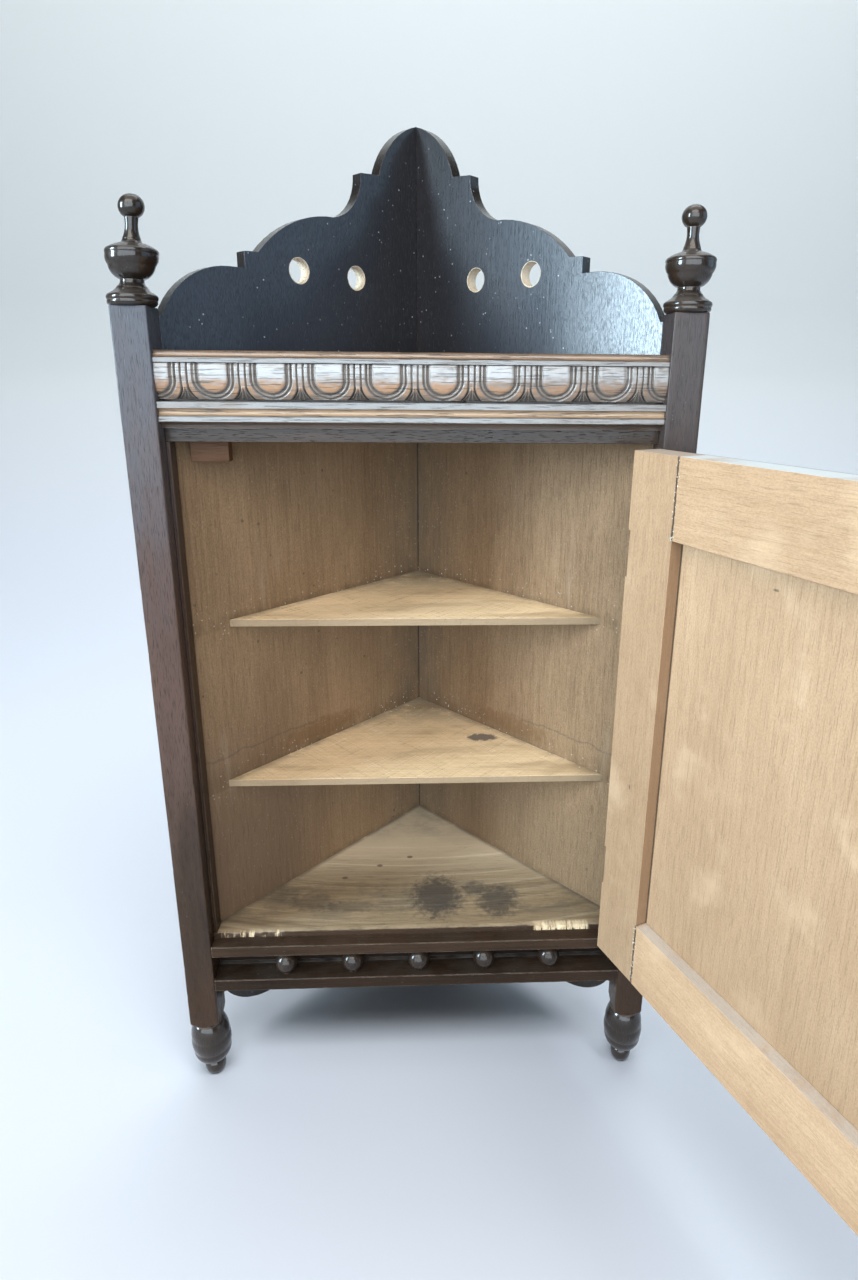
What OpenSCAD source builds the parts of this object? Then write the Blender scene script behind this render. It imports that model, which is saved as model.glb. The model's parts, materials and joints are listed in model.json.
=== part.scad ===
// Miniature corner cupboard: two square front posts with turned finials and feet, two back
// boards that meet in a right angle and rise into a shaped gallery, a carved frieze, two
// shelves, a rail with turned beads, and one framed door hung on the right post.
// Millimetres. The origin is on the ground, in the middle of the back corner's foot.
// +X is to the right seen from the front, the front faces -Y, +Z is up.

/* [Cabinet] */
// Width across the outsides of the two front posts
cabinet_w = 260; // [240:1:300]
// Side of the square front posts
post_w = 15.8; // [14:0.1:17]
// Thickness of the two back boards
board_t = 7; // [5:0.5:8]
// Thickness of the shelves
shelf_t = 4; // [3:0.5:6]
// Half of the upper shelf's front edge
upper_shelf_half = 98.5; // [90:0.5:105]
// Half of the lower shelf's front edge
lower_shelf_half = 104.3; // [90:0.5:105]

/* [Heights above the ground] */
// Underside of the front posts
post_foot_z = 39; // [36:1:42]
// Top of the front posts
post_top_z = 426; // [420:1:440]
// Underside of the lower rail
lower_rail_z = 64.3; // [60:0.1:66]
// Top of the lower rail
lower_rail_top_z = 71.5; // [70:0.1:73]
// Underside of the floor rail
floor_rail_z = 87.2; // [86:0.1:88]
// Top of the floor rail's front lip
floor_lip_z = 93.9; // [93:0.1:95]
// Top of the floor board
floor_top_z = 96.5; // [96:0.1:97.5]
// Top of the lower shelf
lower_shelf_z = 182.2; // [150:0.1:200]
// Top of the upper shelf
upper_shelf_z = 273.8; // [220:0.1:300]
// Underside of the frieze
frieze_z = 368; // [366:0.5:370]
// Top of the frieze
frieze_top_z = 408; // [408:0.5:410]

/* [Gallery] */
// Radius of the hanging holes
hole_r = 6; // [4:0.5:7]
// Height of the hanging holes
hole_z = 449.5; // [445:0.5:452]
// Distance of the inner hole from the corner, along the board
hole_near = 46.5; // [40:0.5:50]
// Distance of the outer hole from the corner, along the board
hole_far = 84.5; // [75:0.5:90]

/* [Door] */
// Thickness of the door's frame
door_t = 15.4; // [14:0.1:15.4]
// Width of the two stiles
stile_w = 28; // [24:0.5:36]
// Width of the top rail
top_rail_w = 36; // [30:0.5:44]
// Width of the bottom rail
bottom_rail_w = 35; // [30:0.5:44]
// Thickness of the panel where it sits in its grooves
panel_t = 4.6; // [4:0.1:5]
// Angle at which the door stands open
open_angle = 114; // [0:1:170]

/* [Hinges] */
// Height of a hinge
hinge_h = 22; // [18:0.5:26]
// Underside of the lower hinge
lower_hinge_z = 140; // [125:1:160]
// Underside of the upper hinge
upper_hinge_z = 308.5; // [280:0.5:320]
// Radius of the hinge knuckles
knuckle_r = 1.9; // [1.7:0.05:2]
// Radius of the hinge pins
pin_r = 0.75; // [0.6:0.05:0.8]

/* [Hidden] */

ebony = "#241f1e";
worn_ebony = "#3a2f2a";
oak = "#c9ab84";
aged_oak = "#8f7458";
pine = "#c8a57c";
brass = "#a8884a";
iron = "#4a4542";

$fn = 48;
arc_steps = 10;
cut = 1;

// The corner: the boards' inner faces meet at inner_y, their outer faces at -inner_y.
inner_y = -board_t / sqrt(2);
front_y = inner_y - cabinet_w / 2;
post_back_y = front_y + post_w;
post_inner_x = cabinet_w / 2 - post_w;
post_x = cabinet_w / 2 - post_w / 2;
post_y = front_y + post_w / 2;

// The spigots of the turned parts, and the tenons of the rails.
spigot_r = 3;
spigot_len = 9;
tenon_len = 5;
tenon_t = 5;

// The frieze: a board set back behind the posts' faces, with the mouldings on its front.
frieze_front_y = front_y + 8;
frieze_back_y = post_back_y;
cornice_z = frieze_top_z - 5;
ovolo_top_z = frieze_top_z - 5.3;
ovolo_z = frieze_top_z - 20.8;
lower_moulding_top_z = frieze_top_z - 21.8;
lower_moulding_z = frieze_top_z - 33.7;
egg_count = 8;
egg_pitch = 2 * post_inner_x / (egg_count + 1);
top_board_t = 6;
top_board_z = frieze_top_z - 7;

// The floor sits in the floor rail's rebate, behind its lip.
floor_t = 6;
lip_depth = 7.7;

// The turned beads between the two rails.
bead_r = 6.2;
bead_plinth_h = 1.6;
bead_count = 5;
bead_pitch = 37.3;
bead_y = front_y + 6.4;
bead_z = (lower_rail_top_z + floor_rail_z) / 2;

// The door, drawn closed and then swung open about the hinge axis.
door_gap = 0.8;
door_right = post_inner_x - door_gap;
door_left = -door_right;
door_z = floor_top_z + 2;
door_top_z = frieze_z - 1;
door_h = door_top_z - door_z;
rail_len = door_right - door_left - 2 * stile_w;
groove_depth = 5;
mortise_depth = 12;
panel_back = 6.2;
panel_y = front_y + door_t - panel_back - panel_t;
rebate_w = 3;
stop_y = front_y + 7.9;
stop_t = 1.8;

// The hinges: the pin stands in front of the gap between the door and its post.
hinge_x = post_inner_x - door_gap / 2;
hinge_y = front_y - 2.3;
leaf_t = 1.4;
leaf_w = 12;
leaf_gap = 0.05;
pin_clearance = 0.05;
knuckle_gap = 0.2;
hinges = [lower_hinge_z, upper_hinge_z];

// Outlines are lists of stations [x, y, bulge]. A station's bulge is the height of the arc
// that leads to it, to the left of the way there; 0 is a straight line.
function bow(a, b, h) =
    let (d = b - a, c = norm(d), u = d / c, n = [-u[1], u[0]], s = sign(h),
         r = (c * c / 4 + h * h) / (2 * abs(h)), half = atan2(c / 2, r - abs(h)),
         m = (a + b) / 2 + n * (h - s * r))
    [for (i = [1:arc_steps]) let (t = half * (2 * i / arc_steps - 1))
        m + u * r * sin(t) + n * s * r * cos(t)];
function at(s) = [s[0], s[1]];
function outline(st) = [
    for (i = [0:len(st) - 1])
        each (i == 0 || st[i][2] == 0) ? [at(st[i])] : bow(at(st[i - 1]), at(st[i]), st[i][2])
];

// The back board's outline: distance from the corner, and height. From the corner out: the
// central arch, a step, a cove, a long shoulder, a step, and a quarter round down to the post;
// then the apron below, with its rounded end, and the foot at the corner.
foot_half = 26;
apron_z = 27;
apron_end_z = 48;
shoulder_end = cabinet_w * 0.616;
function board_outline(start) = outline([
    [start, 0, 0], [start, post_top_z + 107.5, 0], [0, post_top_z + 107.5, 0],
    [28.5, post_top_z + 77.8, 5.2], [41.5, post_top_z + 76.6, 0],
    [60.5, post_top_z + 52, -5.6], [108, post_top_z + 29.7, 5.6],
    [116, post_top_z + 29.2, 0], [116, post_top_z + 21.5, 0],
    [124, post_top_z + 21.5, 0], [shoulder_end, post_top_z - 3, 6.7],
    [cabinet_w, post_top_z - 3, 0], [cabinet_w, apron_end_z, 0],
    [shoulder_end, apron_end_z, 0], [cabinet_w / 2, apron_z, 4.7],
    [foot_half + 22, apron_z, 0], [foot_half, 5, -5], [foot_half, 0, 0]
]);

module turned(stations) {
    rotate_extrude() polygon(outline(stations));
}

// A bar along X: the profile's points are [y, z].
module bar(profile, half_len) {
    translate([-half_len, 0, 0]) rotate([90, 0, 90]) linear_extrude(2 * half_len)
        polygon(profile);
}

module block(low, high) {
    translate(low) cube(high - low);
}

// Places a shape drawn on a back board: X along the board from the corner, -Y outwards.
module on_board(side) {
    translate([0, inner_y, 0])
        if (side < 0) rotate([0, 0, 225]) children();
        else rotate([0, 0, -45]) mirror([0, 1, 0]) children();
}

module back_board(side) {
    start = side < 0 ? -board_t : 0;
    difference() {
        on_board(side) difference() {
            rotate([90, 0, 0]) linear_extrude(board_t) polygon(board_outline(start));
            for (s = [hole_near, hole_far])
                translate([s, cut, hole_z]) rotate([90, 0, 0])
                    cylinder(r = hole_r, h = board_t + 2 * cut);
        }
        block([-cabinet_w, post_back_y - cabinet_w, -cut],
              [cabinet_w, post_back_y, post_top_z + 200]);
    }
}

module left_back_board() { color(ebony) back_board(-1); }
module right_back_board() { color(ebony) back_board(1); }

module rail_tenons(z_low, z_high, y_low) {
    for (side = [-1, 1])
        block([min(side * post_inner_x, side * (post_inner_x + tenon_len)), y_low, z_low],
              [max(side * post_inner_x, side * (post_inner_x + tenon_len)), y_low + tenon_t,
               z_high]);
}

module all_tenons() {
    rail_tenons(lower_rail_z + 1, lower_rail_top_z - 1, front_y + 5);
    rail_tenons(floor_rail_z + 0.8, floor_rail_z + 3.3, front_y + 2);
    rail_tenons(frieze_z + 5, frieze_top_z - 8, frieze_front_y + 1.5);
}

module post(side) {
    difference() {
        translate([side * post_x - post_w / 2, front_y, post_foot_z])
            cube([post_w, post_w, post_top_z - post_foot_z]);
        translate([side * post_x, post_y, post_top_z - spigot_len])
            cylinder(r = spigot_r, h = spigot_len + cut);
        translate([side * post_x, post_y, post_foot_z - cut])
            cylinder(r = spigot_r, h = spigot_len + cut);
        all_tenons();
        if (side > 0)
            for (z = hinges)
                block([hinge_x + leaf_gap, front_y - cut, z],
                      [hinge_x + leaf_gap + leaf_t, hinge_y + leaf_w, z + hinge_h]);
    }
}

module left_post() { color(worn_ebony) post(-1); }
module right_post() { color(worn_ebony) post(1); }

// Finial: a collar, an urn with a lip, a slender neck and a ball.
module finial(side) {
    translate([side * post_x, post_y, post_top_z]) turned([
        [0, -spigot_len, 0], [spigot_r, -spigot_len, 0], [spigot_r, 0, 0], [9, 0, 0],
        [10.2, 2.4, -0.6], [9.6, 5, -0.7], [8.7, 5.6, 0], [6.2, 8, 0.3], [5, 9.6, 0.15],
        [4.9, 10.8, 0], [9.6, 16.4, -1], [10.7, 21, -0.5], [9.9, 23.2, -0.5],
        [4.6, 25.4, -0.25], [3.7, 27.2, 0.2], [2.6, 33, 0.3], [2.8, 35.4, 0],
        [5.3, 39.8, -0.75], [0, 44.4, -1.5]
    ]);
}

module left_finial() { color(ebony) finial(-1); }
module right_finial() { color(ebony) finial(1); }

// Foot: a thin ring, a long ball and a small ball.
module foot(side) {
    translate([side * post_x, post_y, 0]) turned([
        [0, 0, 0], [2.4, 0, 0], [5.8, 5.2, -1.1], [4.3, 9.6, -0.5], [4.3, 10.4, 0],
        [10.4, 19.4, -2.1], [10.6, 27.6, -0.55], [8.3, 37.4, -0.7], [7.7, 38, 0],
        [8.4, 38.2, 0], [8.4, 38.8, 0], [8, post_foot_z, 0], [spigot_r, post_foot_z, 0],
        [spigot_r, post_foot_z + spigot_len, 0], [0, post_foot_z + spigot_len, 0]
    ]);
}

module left_foot() { color(ebony) foot(-1); }
module right_foot() { color(ebony) foot(1); }

module shelf(half, top_z) {
    translate([0, 0, top_z - shelf_t]) linear_extrude(shelf_t)
        polygon([[-half, inner_y - half], [half, inner_y - half], [0, inner_y]]);
}

module upper_shelf() { color(oak) shelf(upper_shelf_half, upper_shelf_z); }
module lower_shelf() { color(oak) shelf(lower_shelf_half, lower_shelf_z); }

module top_board() {
    half = inner_y - frieze_back_y;
    color(aged_oak) translate([0, 0, top_board_z]) linear_extrude(top_board_t)
        polygon([[-half, frieze_back_y], [half, frieze_back_y], [0, inner_y]]);
}

module floor_board() {
    color(aged_oak) translate([0, 0, floor_top_z - floor_t]) linear_extrude(floor_t)
        polygon([
            [-post_inner_x, front_y + lip_depth], [post_inner_x, front_y + lip_depth],
            [post_inner_x, post_back_y], [0, inner_y], [-post_inner_x, post_back_y]
        ]);
}

module frieze_board() {
    color(ebony) {
        block([-post_inner_x, frieze_front_y, frieze_z],
              [post_inner_x, frieze_back_y, frieze_top_z]);
        rail_tenons(frieze_z + 5, frieze_top_z - 8, frieze_front_y + 1.5);
    }
}

// Cornice: a small half-round above a fillet.
module frieze_cornice() {
    color(worn_ebony) bar(outline([
        [frieze_front_y, cornice_z, 0], [frieze_front_y, frieze_top_z, 0],
        [front_y + 1.6, frieze_top_z, 0], [front_y + 1.6, frieze_top_z - 2.5, 0.9],
        [front_y + 1.9, frieze_top_z - 2.9, 0], [front_y + 1.4, frieze_top_z - 3.1, 0],
        [front_y + 1.4, cornice_z, 0]
    ]), post_inner_x);
}

// Ovolo with raised eggs. Each egg is the front cap of a turned shape.
module egg_and_dart() {
    egg_r = 9.2;
    egg_depth = 6.6;
    middle_z = (ovolo_top_z + ovolo_z) / 2;
    color(worn_ebony) intersection() {
        block([-post_inner_x, front_y, ovolo_z], [post_inner_x, frieze_front_y, ovolo_top_z]);
        union() {
            bar(outline([
                [frieze_front_y, ovolo_z, 0], [frieze_front_y, ovolo_top_z, 0],
                [front_y + 2.8, ovolo_top_z, 0], [front_y + 3.6, ovolo_z, 0.5]
            ]), post_inner_x);
            for (i = [0:egg_count + 1])
                translate([egg_pitch * i - post_inner_x, front_y + 1.4 + egg_r, middle_z])
                    turned([[0, -7.6, 0], [egg_r, -0.5, -2.6], [0, 7.6, -3]]);
        }
    }
}

// Below the eggs: a fillet, a half-round, a fillet and a small cove over the plain fascia.
module frieze_lower_moulding() {
    top = lower_moulding_top_z;
    color(worn_ebony) bar(outline([
        [frieze_front_y, lower_moulding_z, 0], [frieze_front_y, top, 0],
        [front_y + 1.2, top, 0], [front_y + 1.2, top - 3, 0], [front_y + 1.9, top - 3.4, 0],
        [front_y + 1.9, top - 5.8, 0.9], [front_y + 2.2, top - 6.5, 0],
        [front_y + 1.7, top - 6.7, 0], [front_y + 1.7, top - 8.9, 0],
        [front_y + 3, top - 9.3, 0], [front_y + 5.6, lower_moulding_z, 0.5]
    ]), post_inner_x);
}

module floor_rail() {
    color(ebony) {
        bar([
            [front_y, floor_rail_z], [post_back_y, floor_rail_z],
            [post_back_y, floor_top_z - floor_t], [front_y + lip_depth, floor_top_z - floor_t],
            [front_y + lip_depth, floor_lip_z], [front_y, floor_lip_z]
        ], post_inner_x);
        rail_tenons(floor_rail_z + 0.8, floor_rail_z + 3.3, front_y + 2);
    }
}

module lower_rail() {
    color(ebony) {
        block([-post_inner_x, front_y, lower_rail_z],
              [post_inner_x, post_back_y, lower_rail_top_z]);
        rail_tenons(lower_rail_z + 1, lower_rail_top_z - 1, front_y + 5);
    }
}

// The board behind the beads, with a low plinth along its foot.
module bead_backing() {
    color(ebony) bar([
        [front_y + 10.6, lower_rail_top_z], [post_back_y, lower_rail_top_z],
        [post_back_y, floor_rail_z], [front_y + 12.8, floor_rail_z],
        [front_y + 12.8, lower_rail_top_z + bead_plinth_h], [front_y + 10.6, lower_rail_top_z + bead_plinth_h]
    ], post_inner_x);
}

// Bead: a ball standing on a small disc, with a short flared neck above it.
module rail_bead(i) {
    collar = (floor_rail_z - lower_rail_top_z) / 2;
    color(ebony) translate([bead_pitch * (i - (bead_count + 1) / 2), bead_y, bead_z]) turned([
        [0, -collar, 0], [2.8, -collar, 0], [2.8, 0.9 - collar, 0],
        [2.2, 12.6 - collar, -bead_r + 2.5], [3.2, 14.6 - collar, 0.25], [3.2, collar, 0],
        [0, collar, 0]
    ]);
}

// The strip on the left post that the closed door's rebate meets.
module left_stop_strip() {
    color(ebony) block([-post_inner_x, stop_y, floor_top_z],
                       [stop_t - post_inner_x, post_back_y, frieze_z]);
}

// The small block behind the frieze that the closed door's top meets.
module door_stop_block() {
    color(pine) block([-106, frieze_back_y, frieze_z - 10], [-88, frieze_back_y + 6.8, top_board_z]);
}

// A nail driven in to the given depth, its head punched below the surface and stopped.
module wire_nail(depth) {
    punched = 0.3;
    head_t = 0.4;
    rotate([90, 0, 0]) {
        translate([0, 0, -depth]) cylinder(r = 0.6, h = depth - punched - head_t);
        translate([0, 0, -punched - head_t]) cylinder(r = 1.2, h = head_t);
    }
}

// Nails through the back boards, into the shelves, the floor, the top board and the posts.
module panel_pins() {
    post_nail_s = (post_inner_x + 2.5) * sqrt(2);
    post_nail_pitch = 72;
    color(iron) for (side = [-1, 1]) on_board(side) {
        for (z = [floor_top_z - floor_t / 2, lower_shelf_z - shelf_t / 2,
                  upper_shelf_z - shelf_t / 2, top_board_z + top_board_t / 2], s = [35, 100])
            translate([s, -board_t, z]) wire_nail(board_t + 9);
        for (i = [0:4])
            translate([post_nail_s, -board_t, apron_end_z + 22 + post_nail_pitch * i])
                wire_nail(board_t + 2);
    }
}

// Turns the door and all that is fixed to it about the hinge axis.
module swing() {
    translate([hinge_x, hinge_y, 0]) rotate([0, 0, open_angle])
        translate([-hinge_x, -hinge_y, 0]) children();
}

module panel_groove() {
    block([door_left + stile_w - groove_depth, panel_y, door_z + bottom_rail_w - groove_depth],
          [door_right - stile_w + groove_depth, panel_y + panel_t,
           door_top_z - top_rail_w + groove_depth]);
}

// A rail's two tenons, as thick as the panel's groove.
module door_tenons(z_low, z_high) {
    block([door_left + stile_w - mortise_depth, panel_y, z_low],
          [door_right - stile_w + mortise_depth, panel_y + panel_t, z_high]);
}

module bottom_tenons() { door_tenons(door_z + 7, door_z + bottom_rail_w - groove_depth); }
module top_tenons() { door_tenons(door_top_z - top_rail_w + groove_depth, door_top_z - 7); }

module door_stile(x_low) {
    difference() {
        block([x_low, front_y, door_z], [x_low + stile_w, front_y + door_t, door_top_z]);
        panel_groove();
        bottom_tenons();
        top_tenons();
        children();
    }
}

module door_hinge_stile() {
    color(pine) swing() door_stile(door_right - stile_w)
        for (z = hinges)
            block([hinge_x - leaf_gap - leaf_t, front_y - cut, z],
                  [door_right + cut, front_y + door_t + cut, z + hinge_h]);
}

module door_free_stile() {
    color(pine) swing() door_stile(door_left) {
        block([door_left - cut, stop_y - 0.3, door_z - cut],
              [door_left + rebate_w, front_y + door_t + cut, door_top_z + cut]);
        knob_place() translate([0, 0, -10]) cylinder(r = 2.5, h = 12);
    }
}

module door_rail(z_low, z_high) {
    difference() {
        union() {
            block([door_left + stile_w, front_y, z_low],
                  [door_right - stile_w, front_y + door_t, z_high]);
            children();
        }
        panel_groove();
    }
}

module door_top_rail() {
    color(oak) swing() door_rail(door_top_z - top_rail_w, door_top_z) top_tenons();
}

module door_bottom_rail() {
    color(oak) swing() door_rail(door_z, door_z + bottom_rail_w) bottom_tenons();
}

// Panel: its edges sit in the grooves, and its outer face has a bevelled raised field.
module door_panel() {
    slack = 0.5;
    tongue = groove_depth - slack;
    x_half = rail_len / 2;
    z_low = door_z + bottom_rail_w;
    z_high = door_top_z - top_rail_w;
    margin = 5;
    bevel = 12;
    raise = 2.6;
    field = panel_y - raise;
    color(pine) swing() union() {
        block([-x_half - tongue, panel_y, z_low - tongue],
              [x_half + tongue, panel_y + panel_t, z_high + tongue]);
        intersection() {
            bar([
                [panel_y, z_low + margin], [field, z_low + bevel + margin],
                [field, z_high - bevel - margin], [panel_y, z_high - margin]
            ], x_half);
            translate([0, 0, z_low]) linear_extrude(z_high - z_low) polygon([
                [margin - x_half, panel_y], [margin + bevel - x_half, field],
                [x_half - margin - bevel, field], [x_half - margin, panel_y]
            ]);
        }
    }
}

module knob_place() {
    translate([door_left + stile_w / 2 + 1, front_y, (door_z + door_top_z) / 2])
        rotate([90, 0, 0]) children();
}

// Knob: a turned mushroom on a short stem, with a spigot in the free stile.
module door_knob() {
    color(ebony) swing() knob_place() turned([
        [0, -9, 0], [2.5, -9, 0], [2.5, 0, 0], [5, 0, 0], [5, 1, 0], [3, 2.4, 0.4],
        [2.8, 5, 0], [7, 8, 0], [6.4, 12, -1.2], [0, 14, -0.8]
    ]);
}

// A ring round the hinge axis from z_low to z_high.
module knuckle(r, z_low, z_high) {
    translate([hinge_x, hinge_y, z_low]) cylinder(r = r, h = z_high - z_low);
}

// One leaf of a butt hinge. The frame's leaf has the two outer knuckles, the door's leaf has
// the middle one. side is 1 for the frame and -1 for the door.
module hinge_leaf(z, side) {
    third = hinge_h / 3;
    own = side > 0 ? [[0, third], [2 * third, hinge_h]] : [[third, 2 * third]];
    other = side > 0 ? [[third, 2 * third]] : [[0, third], [2 * third, hinge_h]];
    x_near = hinge_x + side * leaf_gap;
    x_far = x_near + side * leaf_t;
    difference() {
        union() {
            block([min(x_near, x_far), hinge_y, z],
                  [max(x_near, x_far), hinge_y + leaf_w, z + hinge_h]);
            for (k = own) knuckle(knuckle_r, z + k[0], z + k[1]);
        }
        for (k = other)
            knuckle(knuckle_r + knuckle_gap, z + k[0] - knuckle_gap / 2,
                    z + k[1] + knuckle_gap / 2);
        knuckle(pin_r + pin_clearance, z - cut, z + hinge_h + cut);
        hinge_screws(z, side, 0.05);
    }
}

// Two countersunk screws through a leaf, each with a slot.
module hinge_screws(z, side, ease) {
    for (dz = [5, hinge_h - 5])
        translate([hinge_x + side * leaf_gap, hinge_y + 8, z + dz]) rotate([0, side * 90, 0])
            difference() {
                union() {
                    cylinder(r1 = 1.7 + ease, r2 = 0.8 + ease, h = 1);
                    cylinder(r = 0.8 + ease, h = 8);
                }
                if (ease == 0) translate([-2, -0.2, -cut]) cube([4, 0.4, cut + 0.4]);
            }
}

module hinge_pin(z) {
    color(brass) {
        knuckle(pin_r, z - 0.4, z + hinge_h + 0.1);
        knuckle(1.4, z + hinge_h, z + hinge_h + 0.8);
    }
}

module upper_frame_leaf() { color(brass) hinge_leaf(upper_hinge_z, 1); }
module lower_frame_leaf() { color(brass) hinge_leaf(lower_hinge_z, 1); }
module upper_door_leaf() { color(brass) swing() hinge_leaf(upper_hinge_z, -1); }
module lower_door_leaf() { color(brass) swing() hinge_leaf(lower_hinge_z, -1); }
module upper_hinge_pin() { hinge_pin(upper_hinge_z); }
module lower_hinge_pin() { hinge_pin(lower_hinge_z); }
module frame_hinge_screws() { color(iron) for (z = hinges) hinge_screws(z, 1, 0); }
module door_hinge_screws() { color(iron) swing() for (z = hinges) hinge_screws(z, -1, 0); }

left_post();
right_post();
left_finial();
right_finial();
left_foot();
right_foot();
left_back_board();
right_back_board();
top_board();
upper_shelf();
lower_shelf();
floor_board();
frieze_board();
frieze_cornice();
egg_and_dart();
frieze_lower_moulding();
floor_rail();
lower_rail();
bead_backing();
rail_bead(1);  // rail_bead_1
rail_bead(2);  // rail_bead_2
rail_bead(3);  // rail_bead_3
rail_bead(4);  // rail_bead_4
rail_bead(5);  // rail_bead_5
left_stop_strip();
door_stop_block();
panel_pins();
door_hinge_stile();
door_free_stile();
door_top_rail();
door_bottom_rail();
door_panel();
door_knob();
upper_frame_leaf();
lower_frame_leaf();
upper_door_leaf();
lower_door_leaf();
upper_hinge_pin();
lower_hinge_pin();
frame_hinge_screws();
door_hinge_screws();
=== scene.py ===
"""The looks of the miniature corner cupboard: ebonised oak outside, bare oak inside.

Lengths are in metres, in the frame of the CAD part. MM turns millimetres into metres.
"""
import json
import math

import bmesh
import bpy
import numpy as np
from mathutils import Matrix, Vector, noise

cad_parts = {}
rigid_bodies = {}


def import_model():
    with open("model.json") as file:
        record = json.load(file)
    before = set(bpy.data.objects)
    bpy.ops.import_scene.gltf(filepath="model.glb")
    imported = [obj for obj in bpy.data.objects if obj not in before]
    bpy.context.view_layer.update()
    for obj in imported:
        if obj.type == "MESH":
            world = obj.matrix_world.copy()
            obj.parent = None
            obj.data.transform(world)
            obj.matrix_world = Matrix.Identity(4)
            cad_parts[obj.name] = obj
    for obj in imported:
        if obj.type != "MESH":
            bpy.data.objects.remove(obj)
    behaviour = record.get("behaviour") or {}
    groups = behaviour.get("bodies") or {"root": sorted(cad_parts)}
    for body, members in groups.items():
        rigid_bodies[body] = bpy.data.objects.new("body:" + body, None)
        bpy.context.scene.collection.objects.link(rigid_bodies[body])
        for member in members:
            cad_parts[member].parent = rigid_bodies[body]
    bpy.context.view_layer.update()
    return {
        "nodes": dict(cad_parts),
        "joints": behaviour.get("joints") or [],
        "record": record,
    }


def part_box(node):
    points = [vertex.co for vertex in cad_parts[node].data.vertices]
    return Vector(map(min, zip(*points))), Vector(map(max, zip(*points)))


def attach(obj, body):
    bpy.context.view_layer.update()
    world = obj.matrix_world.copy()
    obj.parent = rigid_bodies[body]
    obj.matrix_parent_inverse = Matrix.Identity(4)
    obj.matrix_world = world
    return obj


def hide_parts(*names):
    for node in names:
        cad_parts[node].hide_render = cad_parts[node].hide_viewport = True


for left_over in list(bpy.data.objects):
    bpy.data.objects.remove(left_over)

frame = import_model()

MM = 0.001
SQ = math.sqrt(0.5)
X, Y, Z = Vector((1, 0, 0)), Vector((0, 1, 0)), Vector((0, 0, 1))

# Places that several pieces share, taken from the frame.
POST_LO, POST_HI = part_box("right_post")
INNER_X = POST_LO.x
FRONT_Y = POST_LO.y
POST_X, POST_Y = (POST_LO.x + POST_HI.x) / 2, (POST_LO.y + POST_HI.y) / 2
POST_TOP, POST_FOOT = POST_HI.z, POST_LO.z
INNER_Y = -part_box("left_back_board")[1].y
FLOOR_FRONT, FLOOR_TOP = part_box("floor_board")[0].y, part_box("floor_board")[1].z
UPPER_SHELF_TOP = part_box("upper_shelf")[1].z
LOWER_SHELF_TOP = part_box("lower_shelf")[1].z
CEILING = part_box("top_board")[0].z
FRIEZE_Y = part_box("frieze_board")[0].y
HOLE_Z, HOLE_R = POST_TOP + 23.5 * MM, 6 * MM
HOLES = (46.5 * MM, 84.5 * MM)

# The door's own axes at rest: along its width from the hinge edge, and out of its front.
HINGE = frame["joints"][0]
SWING = -math.radians(HINGE["range_deg"][0])
HINGE_AT = Vector(HINGE["pos_m"])
DOOR_ALONG = Vector((-math.cos(SWING), -math.sin(SWING), 0))
DOOR_OUT = Vector((math.sin(SWING), -math.cos(SWING), 0))
DOOR_Z0, DOOR_Z1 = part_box("door_hinge_stile")[0].z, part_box("door_hinge_stile")[1].z
STILE_W, TOP_RAIL_W, BOTTOM_RAIL_W = 28 * MM, 36 * MM, 35 * MM
DOOR_W, DOOR_EDGE, PANEL_MIDDLE = 226.8 * MM, 0.4 * MM, 6.0 * MM
DOOR_FACE = DOOR_OUT.dot(HINGE_AT) - 2.3 * MM


# ---------------- node trees

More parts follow.
